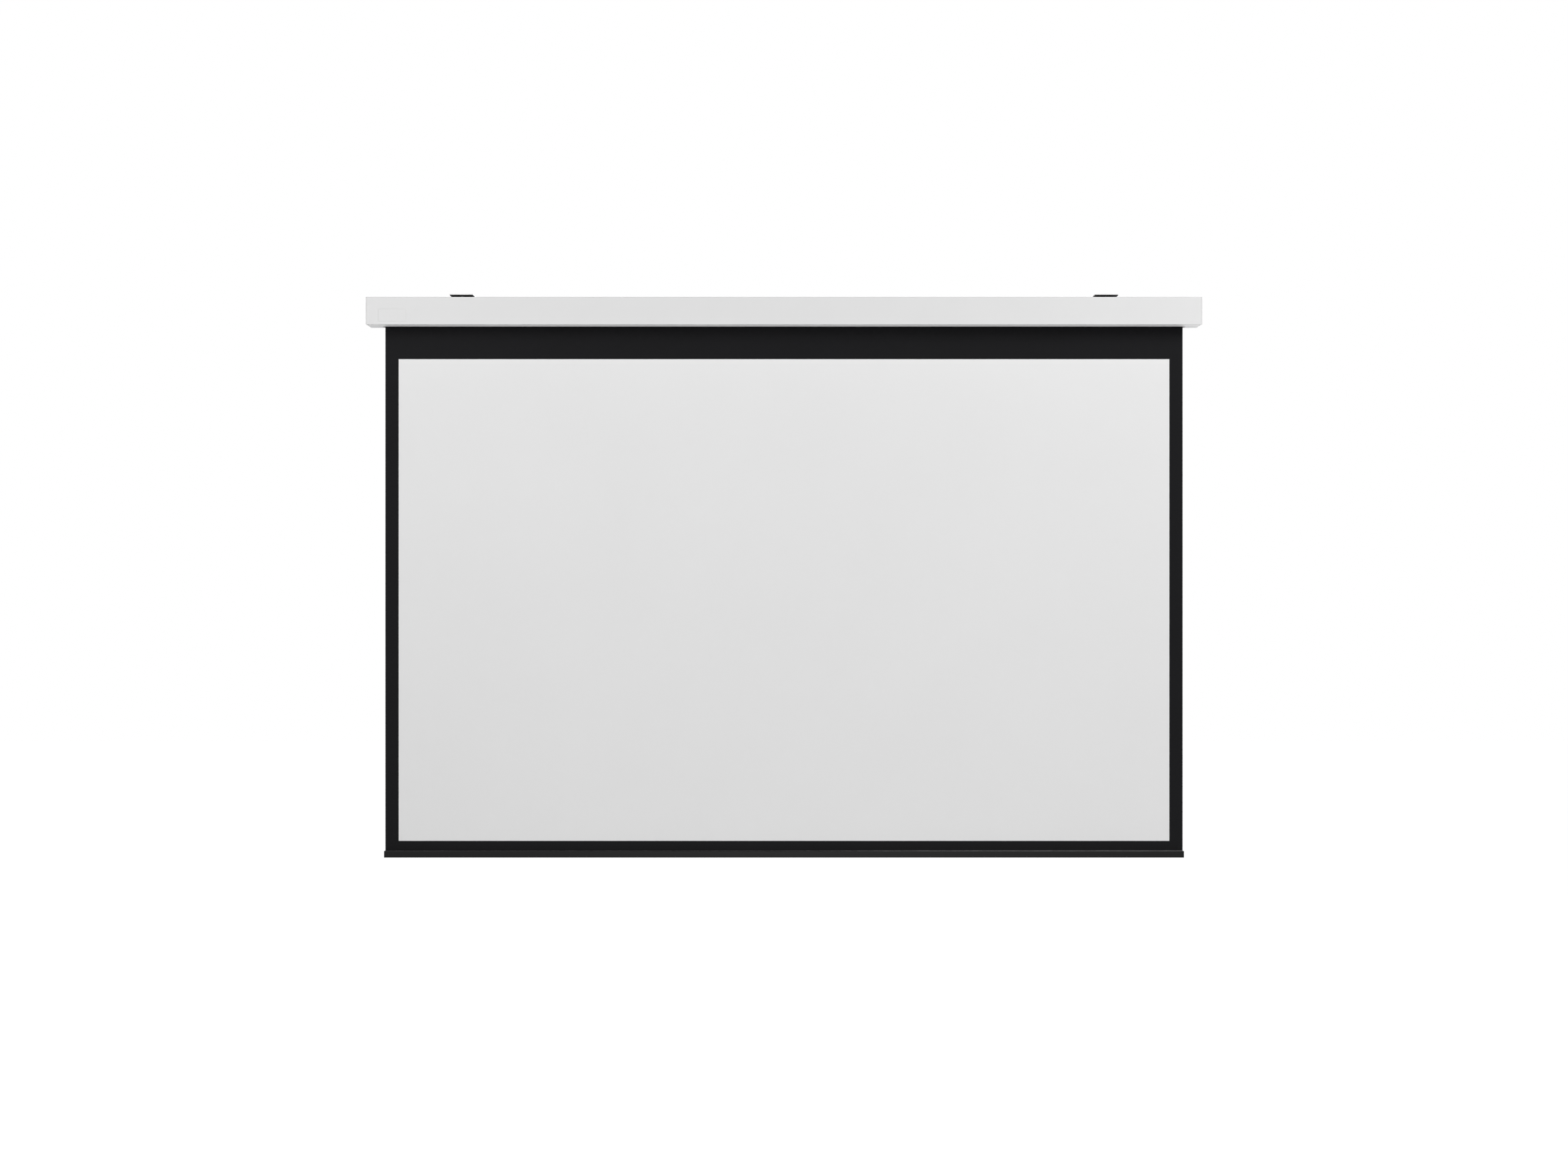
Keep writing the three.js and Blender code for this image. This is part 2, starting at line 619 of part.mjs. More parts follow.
// Idler bush on its bracket plate
const bushBore = rod(pinDiameter / 2 + runGap, [bushFace - overrun, pinEnd + fitGap], [0, 0], smallSides);
const bushFlangeFace = caseEnd - bushFlangeThickness;
const bush = less(joined([
  rod(bushDiameter / 2, [bushFace, caseEnd]),
  rod(bushFlangeDiameter / 2, [bushFlangeFace, caseEnd]),
]), [bushBore, ...flangeScrewCentres(bushFlangeDiameter).map((centre) =>
  rod(flangeScrewHole, [bushFlangeFace - overrun, caseEnd + overrun], centre, smallSides))]);
place(motor, 'idler_bush', 'paleNylon', bush);
const bushScrewDepth = bushFlangeThickness + bracketPlateThickness - fitGap;
flangeScrewCentres(bushFlangeDiameter).forEach((centre, k) => place(motor, `idler_bush_screw_${k + 1}`,
  'zincSteel', flangeScrew(bushFlangeFace, -1, bushScrewDepth, centre)));

// Fabric, from the roll down to the bar, with the white surface on its front
const fabricRun = [-fabricEdge, fabricEdge];
const fabricZ = [barTop + fitGap, rollerZ - fitGap];
const fabricFace = fabricY - fabricThickness / 2;
place(screen, 'screen_fabric', 'blackFabric', block(fabricRun, about(fabricY, fabricThickness), fabricZ));
const surfaceY = [fabricFace - surfaceGap - surfaceThickness, fabricFace - surfaceGap];
place(screen, 'projection_surface', 'whiteSurface',
  block(about(0, imageWidth), surfaceY, [imageBottom, imageTop]));

// Bottom bar, from the middle of its underside
const bar = groupAt(0, fabricY, barBottom);
const ballastHole = ballastDiameter / 2 + fitGap;
const barCut = [-fabricEdge - overrun, fabricEdge + overrun];
const barOutline = roundRectangle(about(0, barThickness), [0, barHeight], barCornerRadius);
const barProfile = less(extrude(barOutline, fabricRun), [
  rod(ballastHole, barCut, [0, ballastHeight], smallSides),
  rod(hemDiameter / 2 + fitGap, barCut, [0, hemHeight], smallSides),
  block(barCut, about(0, hemSlotWidth), [hemHeight, barHeight + overrun]),
]);
place(bar, 'bar_profile', 'blackPowderCoat', barProfile);
const hem = joined([
  rod(hemDiameter / 2, fabricRun, [0, hemHeight], smallSides),
  block(fabricRun, about(0, fabricThickness), [hemHeight, barHeight]),
]);
place(bar, 'hem_rod', 'blackFabric', hem);
const ballastEnd = fabricEdge - barCapSpigot - fitGap;
place(bar, 'ballast_rod', 'greySteel',
  rod(ballastDiameter / 2, [-ballastEnd, ballastEnd], [0, ballastHeight], smallSides));
[['left', -1], ['right', 1]].forEach(([name, side]) => {
  const cap = joined([
    extrude(barOutline, [side * fabricEdge, side * barEnd]),
    rod(ballastDiameter / 2, [side * (fabricEdge - barCapSpigot), side * (fabricEdge + overrun)],
      [0, ballastHeight], smallSides),
  ]);
  place(bar, `bar_end_cap_${name}`, 'blackNylon', cap);
});

// Hanging brackets, from the middle of the bend
const bracketReach = -channelY + bracketNose;
const padBottom = -bracketSteel - padThickness;
const studHole = studDiameter / 2 + fitGap;
const studHeadTop = innerTop - fitGap;
const plateRun = about(0, bracketWidth);
const ceilingHoles = about(0, wallScrewSpacing).map((x) => [x, -ceilingScrewSetback]);
const wallHoles = about(0, wallScrewSpacing).map((x) => [-wallScrewDrop, x]);
const angleOutline = rounded([
  [-bracketReach, 0],
  [0, 0, bracketBend],
  [0, -bracketDrop],
  [-bracketSteel, -bracketDrop],
  [-bracketSteel, -bracketSteel],
  [-bracketReach, -bracketSteel],
]);

function studCut(radius) {
  return extrude(circle(radius, smallSides, [0, channelY]), [padBottom - overrun, overrun], 'z');
}

[['left', -1], ['right', 1]].forEach(([name, side]) => {
  const bracket = groupAt(side * (capEnd - bracketFromEnd), 0, 0);
  const plate = less(extrude(angleOutline, plateRun), [
    studCut(studHole),
    ...ceilingHoles.map((centre) => extrude(circle(wallScrewHole / 2, smallSides, centre),
      [-bracketSteel - overrun, overrun], 'z')),
    ...wallHoles.map((centre) => extrude(circle(wallScrewHole / 2, smallSides, centre),
      [-bracketSteel - overrun, overrun], 'y')),
  ]);
  place(bracket, `bracket_${name}_plate`, 'greySteel', plate);
  const pad = less(block(about(0, bracketWidth - 2 * padInset),
    [-bracketReach + padInset, -bracketSteel - padClearBack], [padBottom, -bracketSteel]), [
    studCut(studHole),
    ...ceilingHoles.map((centre) => extrude(circle(wallScrewHeadHole / 2, smallSides, centre),
      [padBottom - overrun, -bracketSteel + overrun], 'z')),
  ]);
  place(bracket, `bracket_${name}_pad`, 'blackRubber', pad);
  const stud = joined([
    block(about(0, studHeadSize), about(channelY, studHeadSize), [studHeadTop - studHeadHeight, studHeadTop]),
    extrude(circle(studDiameter / 2, smallSides, [0, channelY]), [studHeadTop - overrun, -fitGap], 'z'),
  ]);
  place(bracket, `bracket_${name}_stud`, 'zincSteel', stud);
  const nut = less(joined([
    extrude(circle(nutFlangeDiameter / 2, roundSides, [0, channelY]),
      [caseTop, caseTop + nutFlangeThickness], 'z'),
    extrude(circle(nutAcrossCorners / 2, 6, [0, channelY]), [caseTop, caseTop + nutHeight], 'z'),
  ]), [extrude(circle(studHole, smallSides, [0, channelY]),
    [caseTop - overrun, caseTop + nutHeight + overrun], 'z')]);
  place(bracket, `bracket_${name}_nut`, 'zincSteel', nut);
});

export default screen;
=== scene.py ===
import math
import bmesh
import bpy
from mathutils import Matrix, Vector


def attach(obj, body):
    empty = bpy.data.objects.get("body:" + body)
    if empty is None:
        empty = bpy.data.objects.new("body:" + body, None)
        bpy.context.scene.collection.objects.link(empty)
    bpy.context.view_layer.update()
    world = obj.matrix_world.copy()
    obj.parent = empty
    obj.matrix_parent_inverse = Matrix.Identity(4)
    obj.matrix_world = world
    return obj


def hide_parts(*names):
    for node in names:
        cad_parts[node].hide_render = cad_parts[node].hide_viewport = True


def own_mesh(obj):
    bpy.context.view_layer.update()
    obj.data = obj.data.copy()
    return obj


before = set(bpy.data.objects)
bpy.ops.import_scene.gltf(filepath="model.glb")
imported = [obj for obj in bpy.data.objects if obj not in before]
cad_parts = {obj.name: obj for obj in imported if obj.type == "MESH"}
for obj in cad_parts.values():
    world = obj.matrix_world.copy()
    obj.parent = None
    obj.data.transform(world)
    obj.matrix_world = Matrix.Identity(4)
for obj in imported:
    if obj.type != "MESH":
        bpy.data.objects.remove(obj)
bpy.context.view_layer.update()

bpy.ops.object.select_all(action="DESELECT")

# Camera
# A 50 mm lens looks level at the screen from 6.6 m, a little below the middle of the fabric. It
# sees the case front, a strip of its underside and the noses of the brackets, as in the photo.
bpy.ops.object.camera_add(location=(0, -6.5871, -0.879), rotation=(math.radians(90), 0, 0))
camera = bpy.context.object
camera.data.lens = 50
camera.data.sensor_width = 36
camera.data.clip_end = 100
bpy.context.scene.camera = camera

# Case body and front cover
# Two aluminium extrusions that snap together along the case top, sawn to length and then powder
# coated white. The coat is satin, with the faint orange peel that a baked powder leaves.


def srgb(hex_code):
    """A written sRGB colour as the linear one that a shader takes."""
    channels = [int(hex_code[k:k + 2], 16) / 255 for k in (1, 3, 5)]
    linear = [c / 12.92 if c <= 0.04045 else ((c + 0.055) / 1.055) ** 2.4 for c in channels]
    return (*linear, 1)


def blank_material(name):
    made = bpy.data.materials.new(name)
    made.use_nodes = True
    made.node_tree.nodes.clear()
    return made


def node(material, kind, settings=None, links=None):
    """Adds a shader node with values for its settings, and links to it from (node, output)."""
    made = material.node_tree.nodes.new("ShaderNode" + kind)
    for name, value in (settings or {}).items():
        if isinstance(name, int) or name in made.inputs:
            made.inputs[name].default_value = value
        else:
            setattr(made, name, value)
    for name, (source, output) in (links or {}).items():
        material.node_tree.links.new(source.outputs[output], made.inputs[name])
    return made


def dress(material, *names):
    """Gives CAD nodes whose shape is right their real finish."""
    for name in names:
        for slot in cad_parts[name].material_slots:
            slot.material = material


# Polyester powder on aluminium: bright neutral white, satin, with 1.5 mm waves of orange peel.
white_powder_coat = blank_material("white_powder_coated_aluminium")
place = node(white_powder_coat, "TexCoord")
peel = node(white_powder_coat, "TexNoise", {"Scale": 650, "Detail": 2},
            {"Vector": (place, "Object")})
cloud = node(white_powder_coat, "TexNoise", {"Scale": 7, "Detail": 3},
             {"Vector": (place, "Object")})
tone = node(white_powder_coat, "Mix", {"data_type": "RGBA", 6: srgb("#DFDFDF"), 7: srgb("#E2E2E2")},
            {0: (cloud, "Fac")})
shine = node(white_powder_coat, "MapRange", {"To Min": 0.40, "To Max": 0.50},
             {"Value": (cloud, "Fac")})
relief = node(white_powder_coat, "Bump", {"Strength": 0.25, "Distance": 0.00003},
              {"Height": (peel, "Fac")})
surface = node(white_powder_coat, "BsdfPrincipled", {"IOR": 1.5, "Specular IOR Level": 0.28},
               {"Base Color": (tone, 2), "Roughness": (shine, "Result"),
                "Normal": (relief, "Normal")})
node(white_powder_coat, "OutputMaterial", {}, {"Surface": (surface, "BSDF")})
dress(white_powder_coat, "case_body", "front_cover")

# Motor bracket and idler bracket
# Two 2 mm steel plates that close the ends of the extrusions and carry the roller. They are cut,
# pierced and powder coated like the case, and the end screws clamp them under the caps.

# The same powder on pressed steel, where the coat is thinner and a little glossier.
coated_steel = blank_material("white_powder_coated_steel")
place = node(coated_steel, "TexCoord")
peel = node(coated_steel, "TexNoise", {"Scale": 800, "Detail": 2}, {"Vector": (place, "Object")})
cloud = node(coated_steel, "TexNoise", {"Scale": 12, "Detail": 3}, {"Vector": (place, "Object")})
tone = node(coated_steel, "Mix", {"data_type": "RGBA", 6: srgb("#DADADA"), 7: srgb("#DEDEDE")},
            {0: (cloud, "Fac")})
relief = node(coated_steel, "Bump", {"Strength": 0.2, "Distance": 0.00003},
              {"Height": (peel, "Fac")})
surface = node(coated_steel, "BsdfPrincipled", {"IOR": 1.5, "Roughness": 0.38},
               {"Base Color": (tone, 2), "Normal": (relief, "Normal")})
node(coated_steel, "OutputMaterial", {}, {"Surface": (surface, "BSDF")})
dress(coated_steel, "motor_bracket", "idler_bracket")

# End caps and slot fillers
# Injection moulded white ABS. Each cap is a 3 mm plate with rounded edges that covers a bracket
# plate, and four countersunk screws hold both. The fillers close the slot beside the bar.


def select_only(piece):
    bpy.ops.object.select_all(action="DESELECT")
    piece.select_set(True)
    bpy.context.view_layer.objects.active = piece


def finished_start(name):
    """Names the primitive just added, and moves its place and size into its mesh."""
    made = bpy.context.object
    made.name = made.data.name = name
    bpy.ops.object.transform_apply(location=True, rotation=True, scale=True)
    return made


def block(name, low, high):
    """A cube primitive from its lowest corner to its highest."""
    low, high = Vector(low), Vector(high)
    bpy.ops.object.select_all(action="DESELECT")
    bpy.ops.mesh.primitive_cube_add(size=1, location=(low + high) / 2, scale=high - low)
    return finished_start(name)


def round_bar(name, radius, start, end, sides=32, tip=None):
    """A cylinder primitive between two points, or a cone where the tip has its own radius."""
    run = Vector(end) - Vector(start)
    turn = run.to_track_quat("Z", "Y").to_euler()
    bpy.ops.object.select_all(action="DESELECT")
    bpy.ops.mesh.primitive_cone_add(vertices=sides, radius1=radius,
                                    radius2=radius if tip is None else tip, depth=run.length,
                                    location=(Vector(start) + Vector(end)) / 2, rotation=turn)
    return finished_start(name)


def pick(kind, test):
    """In edit mode, selects the VERT, EDGE or FACE parts whose place passes a test."""
    bpy.ops.mesh.select_mode(type=kind)
    bpy.ops.mesh.select_all(action="DESELECT")
    mesh = bmesh.from_edit_mesh(bpy.context.edit_object.data)
    for part in {"VERT": mesh.verts, "EDGE": mesh.edges, "FACE": mesh.faces}[kind]:
        part.select = bool(test(part))
    mesh.select_flush_mode()
    bmesh.update_edit_mesh(bpy.context.edit_object.data)


def open_edit(piece, kind, test):
    select_only(piece)
    bpy.ops.object.mode_set(mode="EDIT")
    pick(kind, test)


def close_edit():
    bpy.ops.object.mode_set(mode="OBJECT")


# Two places nearer than this are one. A face looks along an axis with this share of its normal.
near, facing = 1e-5, 0.9


def runs_along(axis):
    """A test for the edges that run along an axis: 0, 1 or 2."""
    return lambda edge: all(abs((edge.verts[0].co - edge.verts[1].co)[k]) < near
                            for k in range(3) if k != axis)


def looks_along(axis, way):
    """A test for the faces that look along an axis, to its positive side (1) or the other (-1)."""
    return lambda face: face.normal[axis] * way > facing


def shape(piece, kind, **settings):
    """Adds a modifier with its settings and applies it."""
    select_only(piece)
    modifier = piece.modifiers.new(kind.lower(), kind)
    for name, value in settings.items():
        setattr(modifier, name, value)
    bpy.ops.object.modifier_apply(modifier=modifier.name)


def cut(piece, *cutters):
    """Cuts other solids out of a piece."""
    for cutter in cutters:
        shape(piece, "BOOLEAN", operation="DIFFERENCE", solver="EXACT", object=cutter)
        bpy.data.objects.remove(cutter)


def shade(piece, angle=32):
    """Shades a piece smooth, but for the edges that turn by more degrees than the angle."""
    select_only(piece)
    bpy.ops.object.shade_smooth_by_angle(angle=math.radians(angle))


def smooth(piece, angle=32):
    """Smooths rounded edges while the flat faces beside them stay flat."""
    shade(piece, angle)
    shape(piece, "WEIGHTED_NORMAL", keep_sharp=True, weight=100)


def fit(piece, material, body, slot, *nodes):
    """Gives a piece its material and its body, and hides the nodes it stands for. The slot is not
    used.
    """
    piece.data.materials.clear()
    piece.data.materials.append(material)
    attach(piece, body)
    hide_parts(*nodes)


# ABS from a spark eroded mould: even matt white with a 0.4 mm grain, drawn at 0.8 mm so it shows.
moulded_abs = blank_material("moulded_white_abs")
place = node(moulded_abs, "TexCoord")
grain = node(moulded_abs, "TexVoronoi", {"Scale": 1250}, {"Vector": (place, "Object")})
cloud = node(moulded_abs, "TexNoise", {"Scale": 15, "Detail": 3}, {"Vector": (place, "Object")})
tone = node(moulded_abs, "Mix", {"data_type": "RGBA", 6: srgb("#D5D5D5"), 7: srgb("#D8D8D8")},
            {0: (cloud, "Fac")})
relief = node(moulded_abs, "Bump", {"Strength": 0.3, "Distance": 0.00004},
              {"Height": (grain, "Distance")})
surface = node(moulded_abs, "BsdfPrincipled",
               {"IOR": 1.54, "Roughness": 0.52, "Specular IOR Level": 0.4},
               {"Base Color": (tone, 2), "Normal": (relief, "Normal")})
node(moulded_abs, "OutputMaterial", {}, {"Surface": (surface, "BSDF")})
dress(moulded_abs, "slot_filler_left", "slot_filler_right")

case_low, case_high = Vector((-1.247, -0.095, -0.093)), Vector((1.247, -0.007, -0.011))
cap_thickness, cap_corner, cap_rim = 0.003, 0.0015, 0.0009
end_screws = [(y, z) for y in (-0.089, -0.013) for z in (-0.017, -0.087)]
screw_clearance = 0.0023
sink_foot, sink_mouth, sink_depth, sink_over = 0.0021, 0.0044, 0.0023, 0.0003
inlet_low, inlet_high = Vector((-1.247, -0.029, -0.065)), Vector((-1.225, -0.011, -0.035))
inlet_gap = 0.0003
overrun = 0.002
for side, name in ((-1, "left"), (1, "right")):
    outer, seam = side * case_high.x, side * (case_high.x - cap_thickness)
    left, right = sorted((outer, seam))
    cap = block(f"end_cap_{name}", (left, case_low.y, case_low.z),
                (right, case_high.y, case_high.z))
    open_edit(cap, "EDGE", runs_along(0))
    bpy.ops.mesh.bevel(offset=cap_corner, segments=8)
    pick("FACE", looks_along(0, side))
    bpy.ops.mesh.bevel(offset=cap_rim, segments=4)
    close_edit()
    for y, z in end_screws:
        shank = round_bar("shank", screw_clearance, (seam - side * overrun, y, z),
                          (outer + side * overrun, y, z))
        cone = round_bar("cone", sink_foot, (outer - side * sink_depth, y, z),
                         (outer + side * sink_over, y, z), tip=sink_mouth)
        cut(cap, shank, cone)
    if side < 0:
        cut(cap, block("inlet_hole",
                       (outer - overrun, inlet_low.y - inlet_gap, inlet_low.z - inlet_gap),
                       (seam + overrun, inlet_high.y + inlet_gap, inlet_high.z + inlet_gap)))
    smooth(cap)
    fit(cap, moulded_abs, "case", "white_abs", f"{name}_end_cap")

# End screws
# Eight M4 countersunk screws of zinc plated steel with a cross recess, driven into the ports that
# run along the extrusions. The heads sit flush in the caps.

# Bright zinc with a clear passivation: a cool silver, with the soft mottle of barrel plating.
zinc_plate = blank_material("zinc_plated_steel")
place = node(zinc_plate, "TexCoord")
mottle = node(zinc_plate, "TexNoise", {"Scale": 420, "Detail": 4}, {"Vector": (place, "Object")})
tone = node(zinc_plate, "Mix", {"data_type": "RGBA", 6: srgb("#B4B8BC"), 7: srgb("#CBCCCA")},
            {0: (mottle, "Fac")})
shine = node(zinc_plate, "MapRange", {"To Min": 0.22, "To Max": 0.40}, {"Value": (mottle, "Fac")})
relief = node(zinc_plate, "Bump", {"Strength": 0.15, "Distance": 0.00002},
              {"Height": (mottle, "Fac")})
surface = node(zinc_plate, "BsdfPrincipled", {"Metallic": 1},
               {"Base Color": (tone, 2), "Roughness": (shine, "Result"),
                "Normal": (relief, "Normal")})
node(zinc_plate, "OutputMaterial", {}, {"Surface": (surface, "BSDF")})
dress(zinc_plate, "motor_head_screw_1", "motor_head_screw_2", "idler_bush_screw_1",
      "idler_bush_screw_2", "gearbox", "output_shaft", "idler_pin")

root_share = 0.82


def thread(name, radius, pitch, start, end, sides=24):
    """A threaded rod: a short bar whose end is drawn out ring by ring, over crests and roots."""
    run = Vector(end) - Vector(start)
    along = run.normalized()
    made = round_bar(name, radius, start, Vector(start) + along * pitch / 2, sides)
    open_edit(made, "FACE", lambda face: face.normal.dot(along) > facing)
    for step in range(1, int(run.length / pitch * 2)):
        bpy.ops.mesh.extrude_region_move(TRANSFORM_OT_translate={"value": along * pitch / 2})
        size = root_share if step % 2 else 1 / root_share
        keep = [1 if abs(along[k]) > facing else size for k in range(3)]
        bpy.ops.transform.resize(value=keep)
    close_edit()
    return made


def fuse(piece, other):
    """Joins another solid to a piece as one closed body."""
    shape(piece, "BOOLEAN", operation="UNION", solver="EXACT", object=other)
    bpy.data.objects.remove(other)


# The first screw is made for the right end at its port, and the others are copies of it.
head_sunk = 0.0003
screw_radius, screw_pitch, screw_length, thread_stop = 0.002, 0.0007, 0.016, 0.0016
head_radius, head_depth, head_rim = 0.0038, 0.0018, 0.00025
recess_reach, recess_half, recess_depth, recess_over = 0.0021, 0.00055, 0.0013, 0.0005
recess_taper = 0.55
y, z = end_screws[0]
head_face = case_high.x - head_sunk
screw = thread("end_screw", screw_radius, screw_pitch, (head_face - screw_length, y, z),
               (head_face - thread_stop, y, z), sides=16)
head = round_bar("head", screw_radius, (head_face - head_depth, y, z), (head_face, y, z),
                 tip=head_radius)
open_edit(head, "FACE", looks_along(0, 1))
bpy.ops.mesh.bevel(offset=head_rim, segments=2)
close_edit()
for reach_y, reach_z in ((recess_reach, recess_half), (recess_half, recess_reach)):
    arm = block("recess", (head_face - recess_depth, y - reach_y, z - reach_z),
                (head_face + recess_over, y + reach_y, z + reach_z))
    open_edit(arm, "FACE", looks_along(0, -1))
    bpy.ops.transform.resize(value=(1, recess_taper, recess_taper))
    close_edit()
    cut(head, arm)
fuse(screw, head)
smooth(screw)


def copy_of(piece, name):
    """A copy of a piece, with a mesh of its own."""
    made = piece.copy()
    made.data = piece.data.copy()
    made.name = made.data.name = name
    bpy.context.scene.collection.objects.link(made)
    return made


def settle(piece):
    """Moves a piece's turn and place into its mesh."""
    select_only(piece)
    bpy.ops.object.transform_apply(location=True, rotation=True, scale=True)


for side, name in ((-1, "left"), (1, "right")):
    for k, (port_y, port_z) in enumerate(end_screws):
        made = copy_of(screw, f"end_screw_{name}_{k + 1}")
        if side < 0:
            # Half a turn about the upright line x = y = 0 turns its head to the left end.
            made.rotation_euler.z = math.pi
            made.location = (0, port_y + y, port_z - z)
        else:
            made.location = (0, port_y - y, port_z - z)
        settle(made)
        fit(made, zinc_plate, "case", "zinc_steel", f"{name}_end_cap_screw_{k + 1}")
bpy.data.objects.remove(screw)

# Raised plate on the front
# A bare plate 1 mm thick at the left end of the front, held by two moulded pegs. It is ABS with
# its edges just broken, and sprayed like the case, so that only a fine line shows round it.

# Two coats of white enamel on ABS: the case's own white and sheen, with a finer and flatter peel.
sprayed_abs = blank_material("white_sprayed_abs")
place = node(sprayed_abs, "TexCoord")
peel = node(sprayed_abs, "TexNoise", {"Scale": 900, "Detail": 2}, {"Vector": (place, "Object")})
cloud = node(sprayed_abs, "TexNoise", {"Scale": 9, "Detail": 3}, {"Vector": (place, "Object")})
tone = node(sprayed_abs, "Mix", {"data_type": "RGBA", 6: srgb("#DDDDDD"), 7: srgb("#E0E0E0")},
            {0: (cloud, "Fac")})
relief = node(sprayed_abs, "Bump", {"Strength": 0.2, "Distance": 0.00003},
              {"Height": (peel, "Fac")})
surface = node(sprayed_abs, "BsdfPrincipled",
               {"IOR": 1.5, "Roughness": 0.45, "Specular IOR Level": 0.4},
               {"Base Color": (tone, 2), "Normal": (relief, "Normal")})
node(sprayed_abs, "OutputMaterial", {}, {"Surface": (surface, "BSDF")})

plate_low, plate_high = Vector((-1.209, -0.096, -0.0844)), Vector((-1.1265, -0.095, -0.0474))
plate_corner, plate_rim = 0.001, 0.0004
peg_radius, peg_inset, peg_root, peg_tip = 0.002, 0.012, -0.0955, -0.093
plate = block("raised_plate", plate_low, plate_high)
open_edit(plate, "EDGE", runs_along(1))
bpy.ops.mesh.bevel(offset=plate_corner, segments=5)
pick("FACE", looks_along(1, -1))
bpy.ops.mesh.bevel(offset=plate_rim, segments=3)
close_edit()
peg_z = (plate_low.z + plate_high.z) / 2
for x in (plate_low.x + peg_inset, plate_high.x - peg_inset):
    fuse(plate, round_bar("peg", peg_radius, (x, peg_root, peg_z), (x, peg_tip, peg_z), sides=24))
smooth(plate)
fit(plate, sprayed_abs, "case", "white_abs", "blank_plate")

# Power inlet
# A black nylon socket at the left end, pushed out from inside until its flange stops on the
# bracket plate. Four round pins of nickel plated brass are moulded into the floor of its well.


def soften(piece, width):
    """Rounds a piece's sharp edges."""
    shape(piece, "BEVEL", width=width, segments=3, limit_method="ANGLE",
          angle_limit=math.radians(40), use_clamp_overlap=True)
    smooth(piece)


# Glass filled nylon: near black, matt, with a fine moulded grain of 0.5 mm drawn at 1 mm.
black_nylon = blank_material("black_moulded_nylon")
place = node(black_nylon, "TexCoord")
grain = node(black_nylon, "TexVoronoi", {"Scale": 1000}, {"Vector": (place, "Object")})
cloud = node(black_nylon, "TexNoise", {"Scale": 40, "Detail": 3}, {"Vector": (place, "Object")})
tone = node(black_nylon, "Mix", {"data_type": "RGBA", 6: srgb("#0B0B0C"), 7: srgb("#101012")},
            {0: (cloud, "Fac")})
relief = node(black_nylon, "Bump", {"Strength": 0.35, "Distance": 0.00005},
              {"Height": (grain, "Distance")})
surface = node(black_nylon, "BsdfPrincipled",
               {"IOR": 1.53, "Roughness": 0.5, "Specular IOR Level": 0.12},
               {"Base Color": (tone, 2), "Normal": (relief, "Normal")})
node(black_nylon, "OutputMaterial", {}, {"Surface": (surface, "BSDF")})

flange_face, flange_back, flange_rim = -1.242, -1.24, 0.0015
well_wall, well_depth, inlet_edge = 0.0015, 0.014, 0.0004
inlet = block("power_inlet_socket", inlet_low, inlet_high)
fuse(inlet, block("flange",
                  (flange_face, inlet_low.y - flange_rim, inlet_low.z - flange_rim),
                  (flange_back, inlet_high.y + flange_rim, inlet_high.z + flange_rim)))
open_edit(inlet, "FACE", lambda face: looks_along(0, -1)(face)
          and face.calc_center_median().x < inlet_low.x + near)
bpy.ops.mesh.inset(thickness=well_wall)
bpy.ops.mesh.extrude_region_move(TRANSFORM_OT_translate={"value": (well_depth, 0, 0)})
close_edit()
soften(inlet, inlet_edge)
fit(inlet, black_nylon, "case", "black_nylon", "power_inlet")

# Nickel on brass: a warm bright silver, polished, with faint rings from the turning.
nickel_plate = blank_material("nickel_plated_brass")
place = node(nickel_plate, "TexCoord")
rings = node(nickel_plate, "TexWave", {"bands_direction": "X", "Scale": 800, "Distortion": 0.5},
             {"Vector": (place, "Object")})
tone = node(nickel_plate, "Mix", {"data_type": "RGBA", 6: srgb("#C2BCB0"), 7: srgb("#CFCABE")},
            {0: (rings, "Fac")})
relief = node(nickel_plate, "Bump", {"Strength": 0.1, "Distance": 0.00001},
              {"Height": (rings, "Fac")})
surface = node(nickel_plate, "BsdfPrincipled", {"Metallic": 1, "Roughness": 0.24},
               {"Base Color": (tone, 2), "Normal": (relief, "Normal")})
node(nickel_plate, "OutputMaterial", {}, {"Surface": (surface, "BSDF")})

pin_radius, pin_point, pin_root, pin_tip = 0.00125, 0.0006, -1.2325, -1.242
pins = []
for pin_y in (-0.0235, -0.0165):
    for pin_z in (-0.057, -0.043):
        pin = round_bar("inlet_pins", pin_radius, (pin_root, pin_y, pin_z),
                        (pin_tip, pin_y, pin_z), sides=20)
        open_edit(pin, "FACE", looks_along(0, -1))
        bpy.ops.mesh.bevel(offset=pin_point, segments=4)
        close_edit()
        pins.append(pin)
select_only(pins[0])
for pin in pins[1:]:
    pin.select_set(True)
bpy.ops.object.join()
smooth(pins[0])
fit(pins[0], nickel_plate, "case", "zinc_steel", "power_inlet")

# Lead from the inlet to the motor
# A short lead with a rubber sheath, which takes the mains from the inlet to the motor head. Both
# its ends are fixed inside the case.

# Rubber: deep black and dull, with no grain but a slight bloom.
black_rubber = blank_material("black_rubber")
place = node(black_rubber, "TexCoord")
bloom = node(black_rubber, "TexNoise", {"Scale": 180, "Detail": 4}, {"Vector": (place, "Object")})
tone = node(black_rubber, "Mix", {"data_type": "RGBA", 6: srgb("#0D0D0D"), 7: srgb("#151515")},
            {0: (bloom, "Fac")})
relief = node(black_rubber, "Bump", {"Strength": 0.4, "Distance": 0.00006},
              {"Height": (bloom, "Fac")})
surface = node(black_rubber, "BsdfPrincipled",
               {"IOR": 1.52, "Roughness": 0.8, "Specular IOR Level": 0.15},
               {"Base Color": (tone, 2), "Normal": (relief, "Normal")})
node(black_rubber, "OutputMaterial", {}, {"Surface": (surface, "BSDF")})
dress(black_rubber, "motor_lead")

